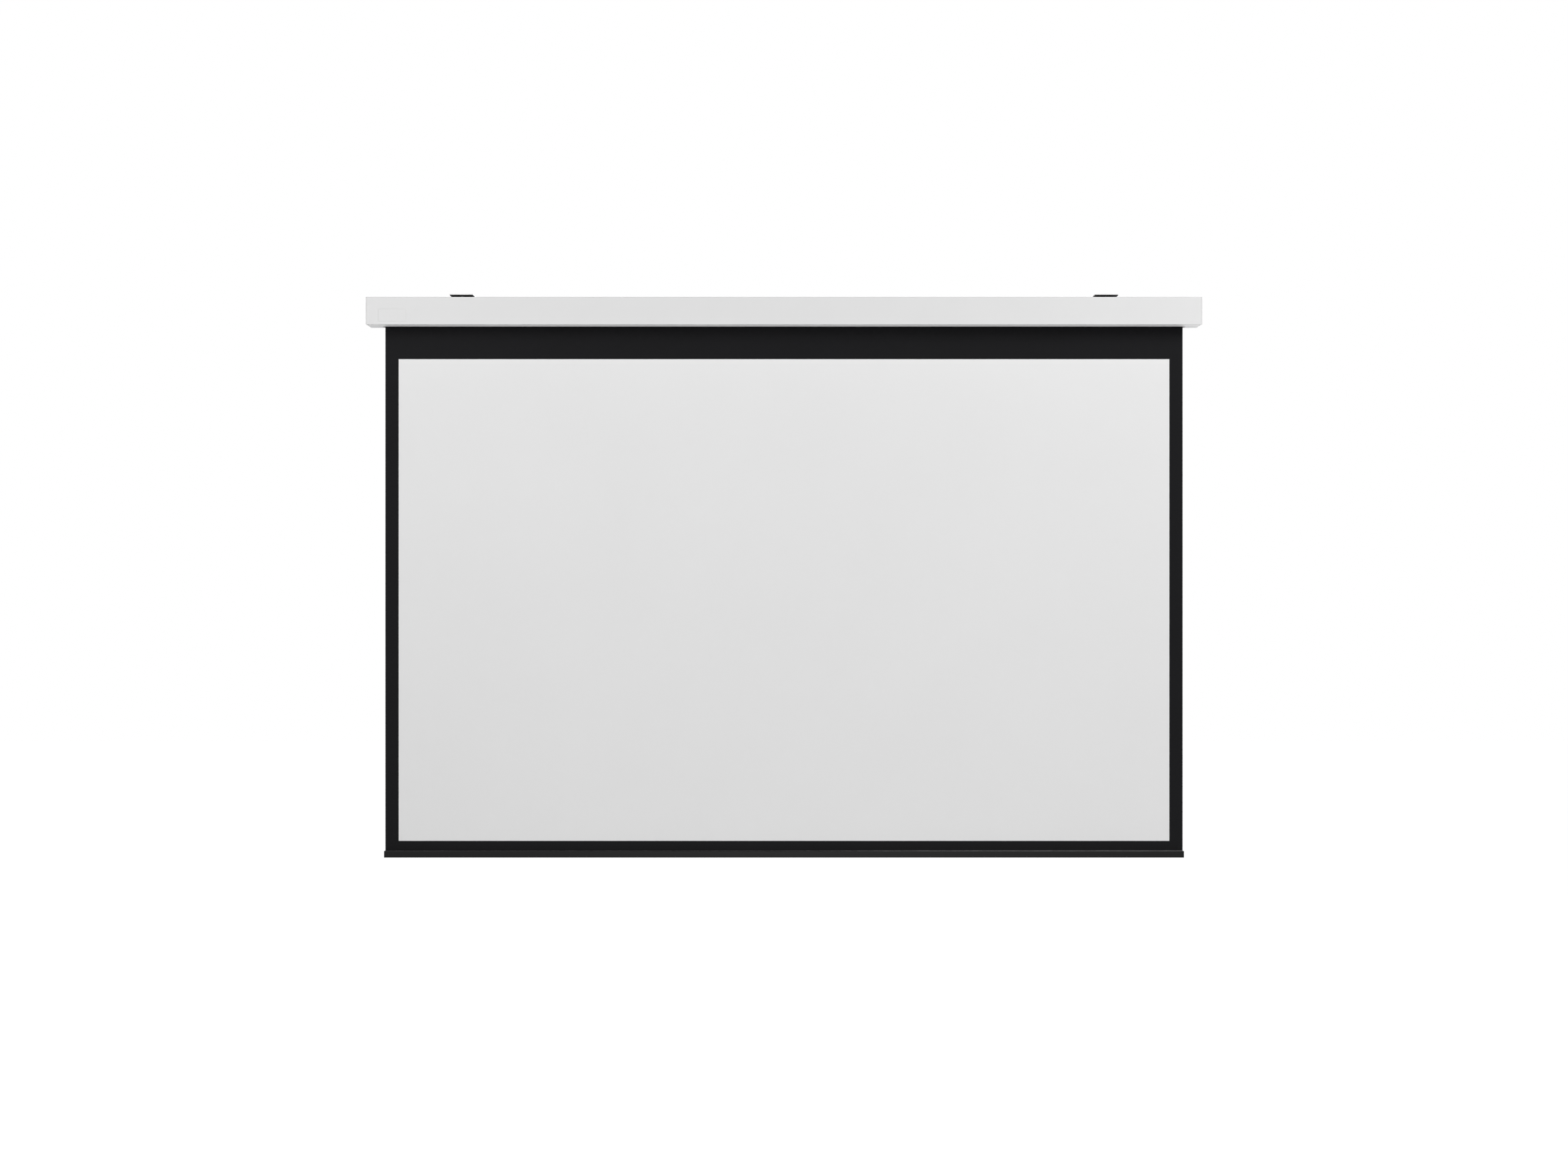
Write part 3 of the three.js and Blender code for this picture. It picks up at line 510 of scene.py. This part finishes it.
# Tubular motor
# A nylon head on the motor bracket, a steel tube behind it, and inside the tube the limit switch,
# capacitor, motor, brake and gearbox in a row. The roller's tube hides them.
dress(black_nylon, "motor_head", "limit_crown", "drive_wheel", "idler_plug")

# Grey enamel on drawn steel tube, with the tube's fine draw lines along it.
grey_enamel = blank_material("grey_enamelled_steel")
place = node(grey_enamel, "TexCoord")
along_x = node(grey_enamel, "Mapping", {"Scale": (6, 900, 900)}, {"Vector": (place, "Object")})
lines = node(grey_enamel, "TexNoise", {"Scale": 1, "Detail": 3}, {"Vector": (along_x, "Vector")})
tone = node(grey_enamel, "Mix", {"data_type": "RGBA", 6: srgb("#83878A"), 7: srgb("#93969A")},
            {0: (lines, "Fac")})
relief = node(grey_enamel, "Bump", {"Strength": 0.15, "Distance": 0.00002},
              {"Height": (lines, "Fac")})
surface = node(grey_enamel, "BsdfPrincipled", {"IOR": 1.5, "Roughness": 0.42},
               {"Base Color": (tone, 2), "Normal": (relief, "Normal")})
node(grey_enamel, "OutputMaterial", {}, {"Surface": (surface, "BSDF")})
dress(grey_enamel, "motor_tube", "brake_unit", "ballast_rod")

# Grey polypropylene of the capacitor can, smooth and a little waxy.
grey_plastic = blank_material("grey_polypropylene")
place = node(grey_plastic, "TexCoord")
cloud = node(grey_plastic, "TexNoise", {"Scale": 60, "Detail": 3}, {"Vector": (place, "Object")})
tone = node(grey_plastic, "Mix", {"data_type": "RGBA", 6: srgb("#7B7E81"), 7: srgb("#86888A")},
            {0: (cloud, "Fac")})
shine = node(grey_plastic, "MapRange", {"To Min": 0.38, "To Max": 0.5}, {"Value": (cloud, "Fac")})
surface = node(grey_plastic, "BsdfPrincipled", {"IOR": 1.49},
               {"Base Color": (tone, 2), "Roughness": (shine, "Result")})
node(grey_plastic, "OutputMaterial", {}, {"Surface": (surface, "BSDF")})
dress(grey_plastic, "capacitor")

# Enamelled copper wire, wound round the motor: 0.6 mm turns across the axis, drawn at 2.4 mm.
copper_winding = blank_material("enamelled_copper_winding")
place = node(copper_winding, "TexCoord")
turns_and_painted_shade = node(copper_winding, "TexWave", {"bands_direction": "X", "Scale": 133, "Distortion": 0.4},
             {"Vector": (place, "Object")})
# The darker copper between the turns is painted shade in the grooves, over the wire's own copper
# tone.
tone = node(copper_winding, "Mix", {"data_type": "RGBA", 6: srgb("#7A3F22"), 7: srgb("#B4703F")},
            {0: (turns_and_painted_shade, "Fac")})
relief = node(copper_winding, "Bump", {"Strength": 0.8, "Distance": 0.0003},
              {"Height": (turns_and_painted_shade, "Fac")})
surface = node(copper_winding, "BsdfPrincipled", {"Metallic": 1, "Roughness": 0.36},
               {"Base Color": (tone, 2), "Normal": (relief, "Normal")})
node(copper_winding, "OutputMaterial", {}, {"Surface": (surface, "BSDF")})
dress(copper_winding, "motor_unit")

# Limit adjusters, idler bush and key strip
# Turned and moulded acetal: two slotted adjusters under the motor head, the bush that the idler
# pin turns in, and the strip that locks the fabric into the roller's groove.

# Natural acetal: a creamy white, slick, slightly translucent plastic.
acetal = blank_material("natural_acetal")
place = node(acetal, "TexCoord")
cloud = node(acetal, "TexNoise", {"Scale": 90, "Detail": 3}, {"Vector": (place, "Object")})
tone = node(acetal, "Mix", {"data_type": "RGBA", 6: srgb("#D3CEBE"), 7: srgb("#DCD8CA")},
            {0: (cloud, "Fac")})
relief = node(acetal, "Bump", {"Strength": 0.1, "Distance": 0.00003}, {"Height": (cloud, "Fac")})
surface = node(acetal, "BsdfPrincipled",
               {"IOR": 1.48, "Roughness": 0.35, "Subsurface Weight": 0.1,
                "Subsurface Scale": 0.001},
               {"Base Color": (tone, 2), "Normal": (relief, "Normal")})
node(acetal, "OutputMaterial", {}, {"Surface": (surface, "BSDF")})
dress(acetal, "limit_screw_up", "limit_screw_down", "idler_bush", "fabric_key_strip",
      "limit_switch_unit")

# Roller tube
# A 50 mm aluminium tube with a groove for the fabric's key strip, as extruded and uncoated. The
# motor turns it by the drive wheel, and its right end runs on the idler pin.

# Mill finish aluminium: pale grey metal with soft die lines along the tube.
mill_aluminium = blank_material("mill_finish_aluminium")
place = node(mill_aluminium, "TexCoord")
along_x = node(mill_aluminium, "Mapping", {"Scale": (4, 700, 700)}, {"Vector": (place, "Object")})
lines = node(mill_aluminium, "TexNoise", {"Scale": 1, "Detail": 4},
             {"Vector": (along_x, "Vector")})
tone = node(mill_aluminium, "Mix", {"data_type": "RGBA", 6: srgb("#AEB0B3"), 7: srgb("#C2C4C6")},
            {0: (lines, "Fac")})
shine = node(mill_aluminium, "MapRange", {"To Min": 0.28, "To Max": 0.45},
             {"Value": (lines, "Fac")})
relief = node(mill_aluminium, "Bump", {"Strength": 0.2, "Distance": 0.00003},
              {"Height": (lines, "Fac")})
surface = node(mill_aluminium, "BsdfPrincipled", {"Metallic": 1},
               {"Base Color": (tone, 2), "Roughness": (shine, "Result"),
                "Normal": (relief, "Normal")})
node(mill_aluminium, "OutputMaterial", {}, {"Surface": (surface, "BSDF")})
dress(mill_aluminium, "roller_tube")

# Fabric turns on the roller
# The one and a half turns that stay on the tube when the screen is down. The cloth starts at the
# key strip and leaves the roll at its back, level with the axis.

# Black coated glass cloth: matt, with a plain weave of 0.5 mm threads drawn at 1.5 mm so it shows.
black_cloth = blank_material("black_coated_glass_cloth")
place = node(black_cloth, "TexCoord")
warp = node(black_cloth, "TexWave", {"bands_direction": "X", "Scale": 106},
            {"Vector": (place, "Object")})
weft = node(black_cloth, "TexWave", {"bands_direction": "Z", "Scale": 106},
            {"Vector": (place, "Object")})
weave = node(black_cloth, "Math", {"operation": "MULTIPLY"}, {0: (warp, "Fac"), 1: (weft, "Fac")})
cloud = node(black_cloth, "TexNoise", {"Scale": 5, "Detail": 4}, {"Vector": (place, "Object")})
# Painted sheen: the weave's thread crossings are painted a little lighter than the rest of the
# cloth.
painted_weave_sheen = node(black_cloth, "MapRange", {"To Min": 0, "To Max": 0.35}, {"Value": (weave, "Value")})
patch = node(black_cloth, "Mix", {"data_type": "RGBA", 6: srgb("#111112"), 7: srgb("#151517")},
             {0: (cloud, "Fac")})
tone = node(black_cloth, "Mix", {"data_type": "RGBA", 7: srgb("#1B1B1D")},
            {0: (painted_weave_sheen, "Result"), 6: (patch, 2)})
relief = node(black_cloth, "Bump", {"Strength": 0.5, "Distance": 0.00015},
              {"Height": (weave, "Value")})
surface = node(black_cloth, "BsdfPrincipled",
               {"IOR": 1.45, "Roughness": 0.6, "Specular IOR Level": 0.08},
               {"Base Color": (tone, 2), "Normal": (relief, "Normal")})
node(black_cloth, "OutputMaterial", {}, {"Surface": (surface, "BSDF")})

axis_y, axis_z = -0.057125, -0.05
cloth_edge = 1.2
cloth_thickness = 0.0004
leave_radius, mean_radius = 0.026625, 0.02606
turn_pitch = 0.00075
safety_turns = 1.5
steps_per_turn = 72


def roll_point(step):
    """Where the middle of the cloth is, a number of steps along the roll from where it leaves."""
    angle = 2 * math.pi * step / steps_per_turn
    radius = leave_radius - turn_pitch * step / steps_per_turn
    return Vector((0, axis_y + radius * math.cos(angle), axis_z + radius * math.sin(angle)))


# One edge of a plane is kept, moved to where the cloth leaves, and drawn out along the roll.
bpy.ops.object.select_all(action="DESELECT")
bpy.ops.mesh.primitive_plane_add(size=2 * cloth_edge, location=roll_point(0))
roll = finished_start("wound_cloth")
open_edit(roll, "VERT", lambda vert: vert.co.y > roll_point(0).y)
bpy.ops.mesh.delete(type="VERT")
pick("VERT", lambda vert: True)
bpy.ops.transform.translate(value=(0, cloth_edge, 0))
for step in range(int(safety_turns * steps_per_turn)):
    move = roll_point(step + 1) - roll_point(step)
    bpy.ops.mesh.extrude_region_move(TRANSFORM_OT_translate={"value": move})
close_edit()
shape(roll, "SOLIDIFY", thickness=cloth_thickness, offset=0)
shade(roll)
fit(roll, black_cloth, "roller", "black_fabric", "fabric_turns")

# Screen cloth and its white face
# One length of glass cloth hangs from the roll and is pulled flat by the bar. Its face carries the
# matt white picture coat, its borders and its back are black. The rising bar winds it up.
bar_top = -1.6702
cloth_top, cloth_height, cloth_y = -0.0503, 1.62, -0.0305
cloth_over_bar = 0.0003
picture_edge, picture_low, picture_high = 1.16, -1.6402, -0.1902
picture_y, picture_thickness = -0.0309, 0.0002
slack_top, slack_height, slack_depth = -0.12, 1.5, 0.00035


def slack(x, z):
    """How far the hanging cloth swells from flat: up to 0.56 mm, and nil at the roll and bar."""
    down = max(0.0, min(1.0, (slack_top - z) / slack_height))
    # Two waves run across it, 1.23 m and 0.57 m long, and the first leans a little.
    swell = math.sin(5.1 * x + 2 * z) + 0.6 * math.sin(11 * x - 1.3)
    return slack_depth * math.sin(math.pi * down) * swell


def hanging(name, edge, low, high, back, thickness):
    """A grid primitive stood up at a depth, let out by the slack, and given its thickness."""
    bpy.ops.object.select_all(action="DESELECT")
    bpy.ops.mesh.primitive_grid_add(x_subdivisions=120, y_subdivisions=80, size=2,
                                    location=(0, back, (low + high) / 2),
                                    rotation=(math.radians(90), 0, 0))
    bpy.ops.transform.resize(value=(edge, 1, (high - low) / 2))
    made = finished_start(name)
    for vert in made.data.vertices:
        vert.co.y += slack(vert.co.x, vert.co.z)
    shape(made, "SOLIDIFY", thickness=thickness, offset=0)
    shade(made)
    return made


cloth = hanging("screen_cloth", cloth_edge, bar_top + cloth_over_bar, cloth_top, cloth_y,
                cloth_thickness)
fit(cloth, black_cloth, "case", "black_fabric", "screen_fabric")

# Matt white picture coat: a nearly perfect diffuser with a fine 0.6 mm embossed grain, drawn at
# 1.2 mm, and the very slight unevenness of a coat that was spread and dried.
picture_coat = blank_material("matt_white_picture_coat")
place = node(picture_coat, "TexCoord")
emboss = node(picture_coat, "TexNoise", {"Scale": 830, "Detail": 2}, {"Vector": (place, "Object")})
cloud = node(picture_coat, "TexNoise", {"Scale": 2.5, "Detail": 5}, {"Vector": (place, "Object")})
tone = node(picture_coat, "Mix", {"data_type": "RGBA", 6: srgb("#EAEAEA"), 7: srgb("#EDEDED")},
            {0: (cloud, "Fac")})
relief = node(picture_coat, "Bump", {"Strength": 0.25, "Distance": 0.00004},
              {"Height": (emboss, "Fac")})
surface = node(picture_coat, "BsdfPrincipled",
               {"IOR": 1.5, "Roughness": 0.9, "Specular IOR Level": 0.2, "Diffuse Roughness": 0.3},
               {"Base Color": (tone, 2), "Normal": (relief, "Normal")})
node(picture_coat, "OutputMaterial", {}, {"Surface": (surface, "BSDF")})

picture = hanging("picture_surface", picture_edge, picture_low, picture_high, picture_y,
                  picture_thickness)
fit(picture, picture_coat, "case", "white_fabric", "projection_surface")
# The cloth and the white face are each given a mesh of their own.
for piece, top, share in ((cloth, cloth_top, 0.01383), (picture, -0.0575, 0.00935)):
    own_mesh(piece)

# Bottom bar
# An aluminium extrusion, powder coated black, with a keyhole slot along its top that the hem rod
# of the cloth slides into, a steel rod below it for weight, and a moulded cap in each end.

# Fine black powder coat on aluminium, satin, over faint die lines along the bar.
black_powder_coat = blank_material("black_powder_coated_aluminium")
place = node(black_powder_coat, "TexCoord")
peel = node(black_powder_coat, "TexNoise", {"Scale": 900, "Detail": 2},
            {"Vector": (place, "Object")})
along_x = node(black_powder_coat, "Mapping", {"Scale": (1.5, 300, 300)},
               {"Vector": (place, "Object")})
lines = node(black_powder_coat, "TexNoise", {"Scale": 1, "Detail": 2},
             {"Vector": (along_x, "Vector")})
tone = node(black_powder_coat, "Mix", {"data_type": "RGBA", 6: srgb("#0B0B0B"), 7: srgb("#111111")},
            {0: (lines, "Fac")})
relief = node(black_powder_coat, "Bump", {"Strength": 0.25, "Distance": 0.00003},
              {"Height": (peel, "Fac")})
surface = node(black_powder_coat, "BsdfPrincipled",
               {"IOR": 1.5, "Roughness": 0.38, "Specular IOR Level": 0.15},
               {"Base Color": (tone, 2), "Normal": (relief, "Normal")})
node(black_powder_coat, "OutputMaterial", {}, {"Surface": (surface, "BSDF")})

bar_end, bar_corner = 1.2, 0.002
bar_low, bar_high = Vector((-bar_end, -0.038, -1.6902)), Vector((bar_end, -0.023, bar_top))
slot_half, hem_radius, hem_z = 0.0008, 0.0031, -1.6758
ballast_radius, ballast_z = 0.0043, -1.6844
cutter_end, cutter_top = 1.21, -1.66
bar = block("bottom_bar_profile", bar_low, bar_high)
open_edit(bar, "EDGE", runs_along(0))
bpy.ops.mesh.bevel(offset=bar_corner, segments=8)
close_edit()
cut(bar, block("hem_slot", (-cutter_end, cloth_y - slot_half, hem_z),
               (cutter_end, cloth_y + slot_half, cutter_top)),
    round_bar("hem_bore", hem_radius, (-cutter_end, cloth_y, hem_z), (cutter_end, cloth_y, hem_z)),
    round_bar("ballast_bore", ballast_radius, (-cutter_end, cloth_y, ballast_z),
              (cutter_end, cloth_y, ballast_z)))
smooth(bar)
fit(bar, black_powder_coat, "bottom_bar", "black_aluminium", "bar_profile")
dress(black_cloth, "hem_rod")

bar_cap_thickness, bar_cap_rim = 0.003, 0.0008
spigot_radius, spigot_tip, spigot_root = 0.004, 1.188, 1.2015
for side, name in ((-1, "left"), (1, "right")):
    left, right = sorted((side * bar_end, side * (bar_end + bar_cap_thickness)))
    cap = block(f"bar_cap_{name}", (left, bar_low.y, bar_low.z), (right, bar_high.y, bar_high.z))
    open_edit(cap, "EDGE", runs_along(0))
    bpy.ops.mesh.bevel(offset=bar_corner, segments=8)
    pick("FACE", looks_along(0, side))
    bpy.ops.mesh.bevel(offset=bar_cap_rim, segments=4)
    close_edit()
    fuse(cap, round_bar("spigot", spigot_radius, (side * spigot_tip, cloth_y, ballast_z),
                        (side * spigot_root, cloth_y, ballast_z)))
    smooth(cap)
    fit(cap, black_nylon, "bottom_bar", "black_nylon", f"bar_end_cap_{name}")

# Hanging brackets
# Each is a 2.5 mm steel strip, pierced and bent square, with a rubber pad under it. A T headed
# stud slides in the channel of the case top and a flange nut clamps the case to it.

# Light grey powder coat on pressed steel, satin.
grey_powder_coat = blank_material("light_grey_powder_coated_steel")
place = node(grey_powder_coat, "TexCoord")
peel = node(grey_powder_coat, "TexNoise", {"Scale": 700, "Detail": 2},
            {"Vector": (place, "Object")})
cloud = node(grey_powder_coat, "TexNoise", {"Scale": 25, "Detail": 3},
             {"Vector": (place, "Object")})
tone = node(grey_powder_coat, "Mix", {"data_type": "RGBA", 6: srgb("#D3D3D3"), 7: srgb("#DADADA")},
            {0: (cloud, "Fac")})
relief = node(grey_powder_coat, "Bump", {"Strength": 0.25, "Distance": 0.00003},
              {"Height": (peel, "Fac")})
surface = node(grey_powder_coat, "BsdfPrincipled", {"IOR": 1.5, "Roughness": 0.42},
               {"Base Color": (tone, 2), "Normal": (relief, "Normal")})
node(grey_powder_coat, "OutputMaterial", {}, {"Surface": (surface, "BSDF")})

bracket_x, bracket_half = 0.965, 0.035
strip, nose_y, foot_z = 0.0025, -0.075, -0.06
bend_outer, bend_inner, nose_corner, foot_corner = 0.003, 0.0005, 0.0015, 0.004
edge_break = 0.0003
stud_y, stud_clearance = -0.052, 0.0033
hole_x, hole_radius, ceiling_hole_y, wall_hole_z = 0.022, 0.0035, -0.026, -0.035
drill = 0.01
pad_inset, pad_back, pad_thickness, pad_corner = 0.0005, -0.0065, 0.0015, 0.001
screw_head_hole = 0.0055
stud_radius, stud_pitch, stud_low, stud_high = 0.003, 0.001, -0.0138, -0.0003
tee_half, tee_low, tee_high, tee_corner = 0.00675, -0.0163, -0.0133, 0.0015
nut_radius, nut_low, nut_high, nut_chamfer = 0.00575, -0.011, -0.006, 0.0005
nut_flange_radius, nut_flange_high, nut_flange_rim = 0.008, -0.0095, 0.0007


def upright(name, radius, x, y, low, high, sides=32):
    """A cylinder that stands on end at x and y."""
    return round_bar(name, radius, (x, y, low), (x, y, high), sides)


for side, name in ((-1, "left"), (1, "right")):
    middle = side * bracket_x
    low, high = middle - bracket_half, middle + bracket_half
    bracket = block(f"hanging_bracket_{name}", (low, nose_y, -strip), (high, -strip, 0))
    open_edit(bracket, "FACE", looks_along(1, 1))
    bpy.ops.mesh.extrude_region_move(TRANSFORM_OT_translate={"value": (0, strip, 0)})
    pick("FACE", lambda face: looks_along(2, -1)(face) and face.calc_center_median().y > -strip)
    bpy.ops.mesh.extrude_region_move(TRANSFORM_OT_translate={"value": (0, 0, foot_z + strip)})
    # The bend: 3 mm outside and a small radius inside.
    pick("EDGE", lambda edge: runs_along(0)(edge) and edge.verts[0].co.y > -near
         and edge.verts[0].co.z > -near)
    bpy.ops.mesh.bevel(offset=bend_outer, segments=8)
    pick("EDGE", lambda edge: runs_along(0)(edge) and abs(edge.verts[0].co.y + strip) < near
         and abs(edge.verts[0].co.z + strip) < near)
    bpy.ops.mesh.bevel(offset=bend_inner, segments=3)
    # The sheared corners of the nose and of the wall leg are rounded off.
    pick("EDGE", lambda edge: runs_along(2)(edge) and edge.verts[0].co.y < nose_y + near)
    bpy.ops.mesh.bevel(offset=nose_corner, segments=5)
    pick("EDGE", lambda edge: runs_along(1)(edge) and edge.verts[0].co.z < foot_z + near)
    bpy.ops.mesh.bevel(offset=foot_corner, segments=6)
    close_edit()
    cut(bracket, upright("stud_hole", stud_clearance, middle, stud_y, -drill, drill))
    for x in (middle - hole_x, middle + hole_x):
        cut(bracket, upright("ceiling_hole", hole_radius, x, ceiling_hole_y, -drill, drill),
            round_bar("wall_hole", hole_radius, (x, -drill, wall_hole_z), (x, drill, wall_hole_z)))
    soften(bracket, edge_break)
    fit(bracket, grey_powder_coat, f"bracket_{name}", "grey_coated_steel", f"bracket_{name}_plate")

    pad = block(f"bracket_cushion_{name}",
                (low + pad_inset, nose_y + pad_inset, -strip - pad_thickness),
                (high - pad_inset, pad_back, -strip))
    open_edit(pad, "EDGE", runs_along(2))
    bpy.ops.mesh.bevel(offset=pad_corner, segments=4)
    close_edit()
    cut(pad, upright("stud_hole", stud_clearance, middle, stud_y, -drill, drill))
    for x in (middle - hole_x, middle + hole_x):
        cut(pad, upright("head_hole", screw_head_hole, x, ceiling_hole_y, -drill, drill))
    soften(pad, edge_break)
    fit(pad, black_rubber, f"bracket_{name}", "black_rubber", f"bracket_{name}_pad")

    stud = thread(f"hanging_stud_{name}", stud_radius, stud_pitch, (middle, stud_y, stud_low),
                  (middle, stud_y, stud_high))
    tee = block("tee", (middle - tee_half, stud_y - tee_half, tee_low),
                (middle + tee_half, stud_y + tee_half, tee_high))
    open_edit(tee, "EDGE", runs_along(2))
    bpy.ops.mesh.bevel(offset=tee_corner, segments=4)
    close_edit()
    fuse(stud, tee)
    smooth(stud)
    fit(stud, zinc_plate, f"bracket_{name}", "zinc_steel", f"bracket_{name}_stud")

    nut = upright(f"flange_nut_{name}", nut_radius, middle, stud_y, nut_low, nut_high, sides=6)
    open_edit(nut, "FACE", looks_along(2, 1))
    bpy.ops.mesh.bevel(offset=nut_chamfer, segments=1)
    close_edit()
    flange = upright("flange", nut_flange_radius, middle, stud_y, nut_low, nut_flange_high,
                     sides=40)
    open_edit(flange, "FACE", looks_along(2, 1))
    bpy.ops.mesh.bevel(offset=nut_flange_rim, segments=3)
    close_edit()
    fuse(nut, flange)
    cut(nut, upright("nut_bore", stud_clearance, middle, stud_y, nut_low - overrun,
                     nut_high + overrun))
    smooth(nut, angle=25)
    fit(nut, zinc_plate, f"bracket_{name}", "zinc_steel", f"bracket_{name}_nut")

# Room
# A pale floor well below the bar, and a plain white surround. The camera, glossy and clear rays
# see both as white, and the light that they throw on the screen is softer than that.
floor_width, floor_z = 40, -2.75
bpy.ops.object.select_all(action="DESELECT")
bpy.ops.mesh.primitive_plane_add(size=floor_width, location=(0, 0, floor_z))
floor = finished_start("floor")
pale_floor = blank_material("pale_floor")
path = node(pale_floor, "LightPath")
sharp = node(pale_floor, "Math", {"operation": "MAXIMUM"},
             {0: (path, "Is Camera Ray"), 1: (path, "Is Glossy Ray")})
seen = node(pale_floor, "Math", {"operation": "MAXIMUM"},
            {0: (sharp, "Value"), 1: (path, "Is Transmission Ray")})
glow = node(pale_floor, "Math", {"operation": "MULTIPLY", 1: 0.92}, {0: (seen, "Value")})
lit =node(pale_floor, "BsdfDiffuse", {"Color": srgb("#EDEDED")})
white = node(pale_floor, "Emission", {"Color": (1, 1, 1, 1)}, {"Strength": (glow, "Value")})
both = node(pale_floor, "AddShader", {}, {0: (lit, "BSDF"), 1: (white, "Emission")})
node(pale_floor, "OutputMaterial", {}, {"Surface": (both, "Shader")})
floor.data.materials.append(pale_floor)

surround = bpy.data.worlds.new("plain_surround")
surround.use_nodes = True
surround.node_tree.nodes.clear()
bpy.context.scene.world = surround
path = node(surround, "LightPath")
sharp = node(surround, "Math", {"operation": "MAXIMUM"},
             {0: (path, "Is Camera Ray"), 1: (path, "Is Glossy Ray")})
seen = node(surround, "Math", {"operation": "MAXIMUM"},
            {0: (sharp, "Value"), 1: (path, "Is Transmission Ray")})
level = node(surround, "MapRange", {"To Min": 0.1, "To Max": 1}, {"Value": (seen, "Value")})
sky = node(surround, "Background", {"Color": (1, 1, 1, 1)}, {"Strength": (level, "Result")})
node(surround, "OutputWorld", {}, {"Surface": (sky, "Background")})

# Lamps
# Two soft lamps high in front, the right one stronger, light the screen most along its top and at
# its right end, as in the photo. A low one lights the middle of the bar, a broad one on the floor
# the underside of the case, and the last shows the back and doesn't reach the front.


def soft_lamp(name, place, aim, size, power, depth=2, spread=180):
    """A rectangular lamp that the camera doesn't see, aimed at a point."""
    turn = (Vector(aim) - Vector(place)).to_track_quat("-Z", "Y").to_euler()
    bpy.ops.object.light_add(type="AREA", location=place, rotation=turn)
    lamp = bpy.context.object
    lamp.name = name
    lamp.data.shape = "RECTANGLE"
    lamp.data.size, lamp.data.size_y = size, depth
    lamp.data.energy = power
    lamp.data.spread = math.radians(spread)
    lamp.visible_camera = False


soft_lamp("key_lamp", (3.7, -3.3, 1.8), (0.2, 0, 0.2), size=2, power=159)
soft_lamp("fill_lamp", (-2.8, -3.3, 0.9), (-0.3, 0, 0.2), size=2, power=75)
soft_lamp("low_lamp", (0.15, -4.2, -2.2), (0.15, 0, -0.8), size=2, power=25)
soft_lamp("floor_lamp", (0, -1.75, -2.7), (0, -1.75, 0), size=6, power=29, depth=3.3, spread=90)
soft_lamp("back_lamp", (1.5, 4.8, 0.6), (0, 0, -0.6), size=2, power=70, spread=120)

bpy.context.scene.view_settings.view_transform = "Standard"
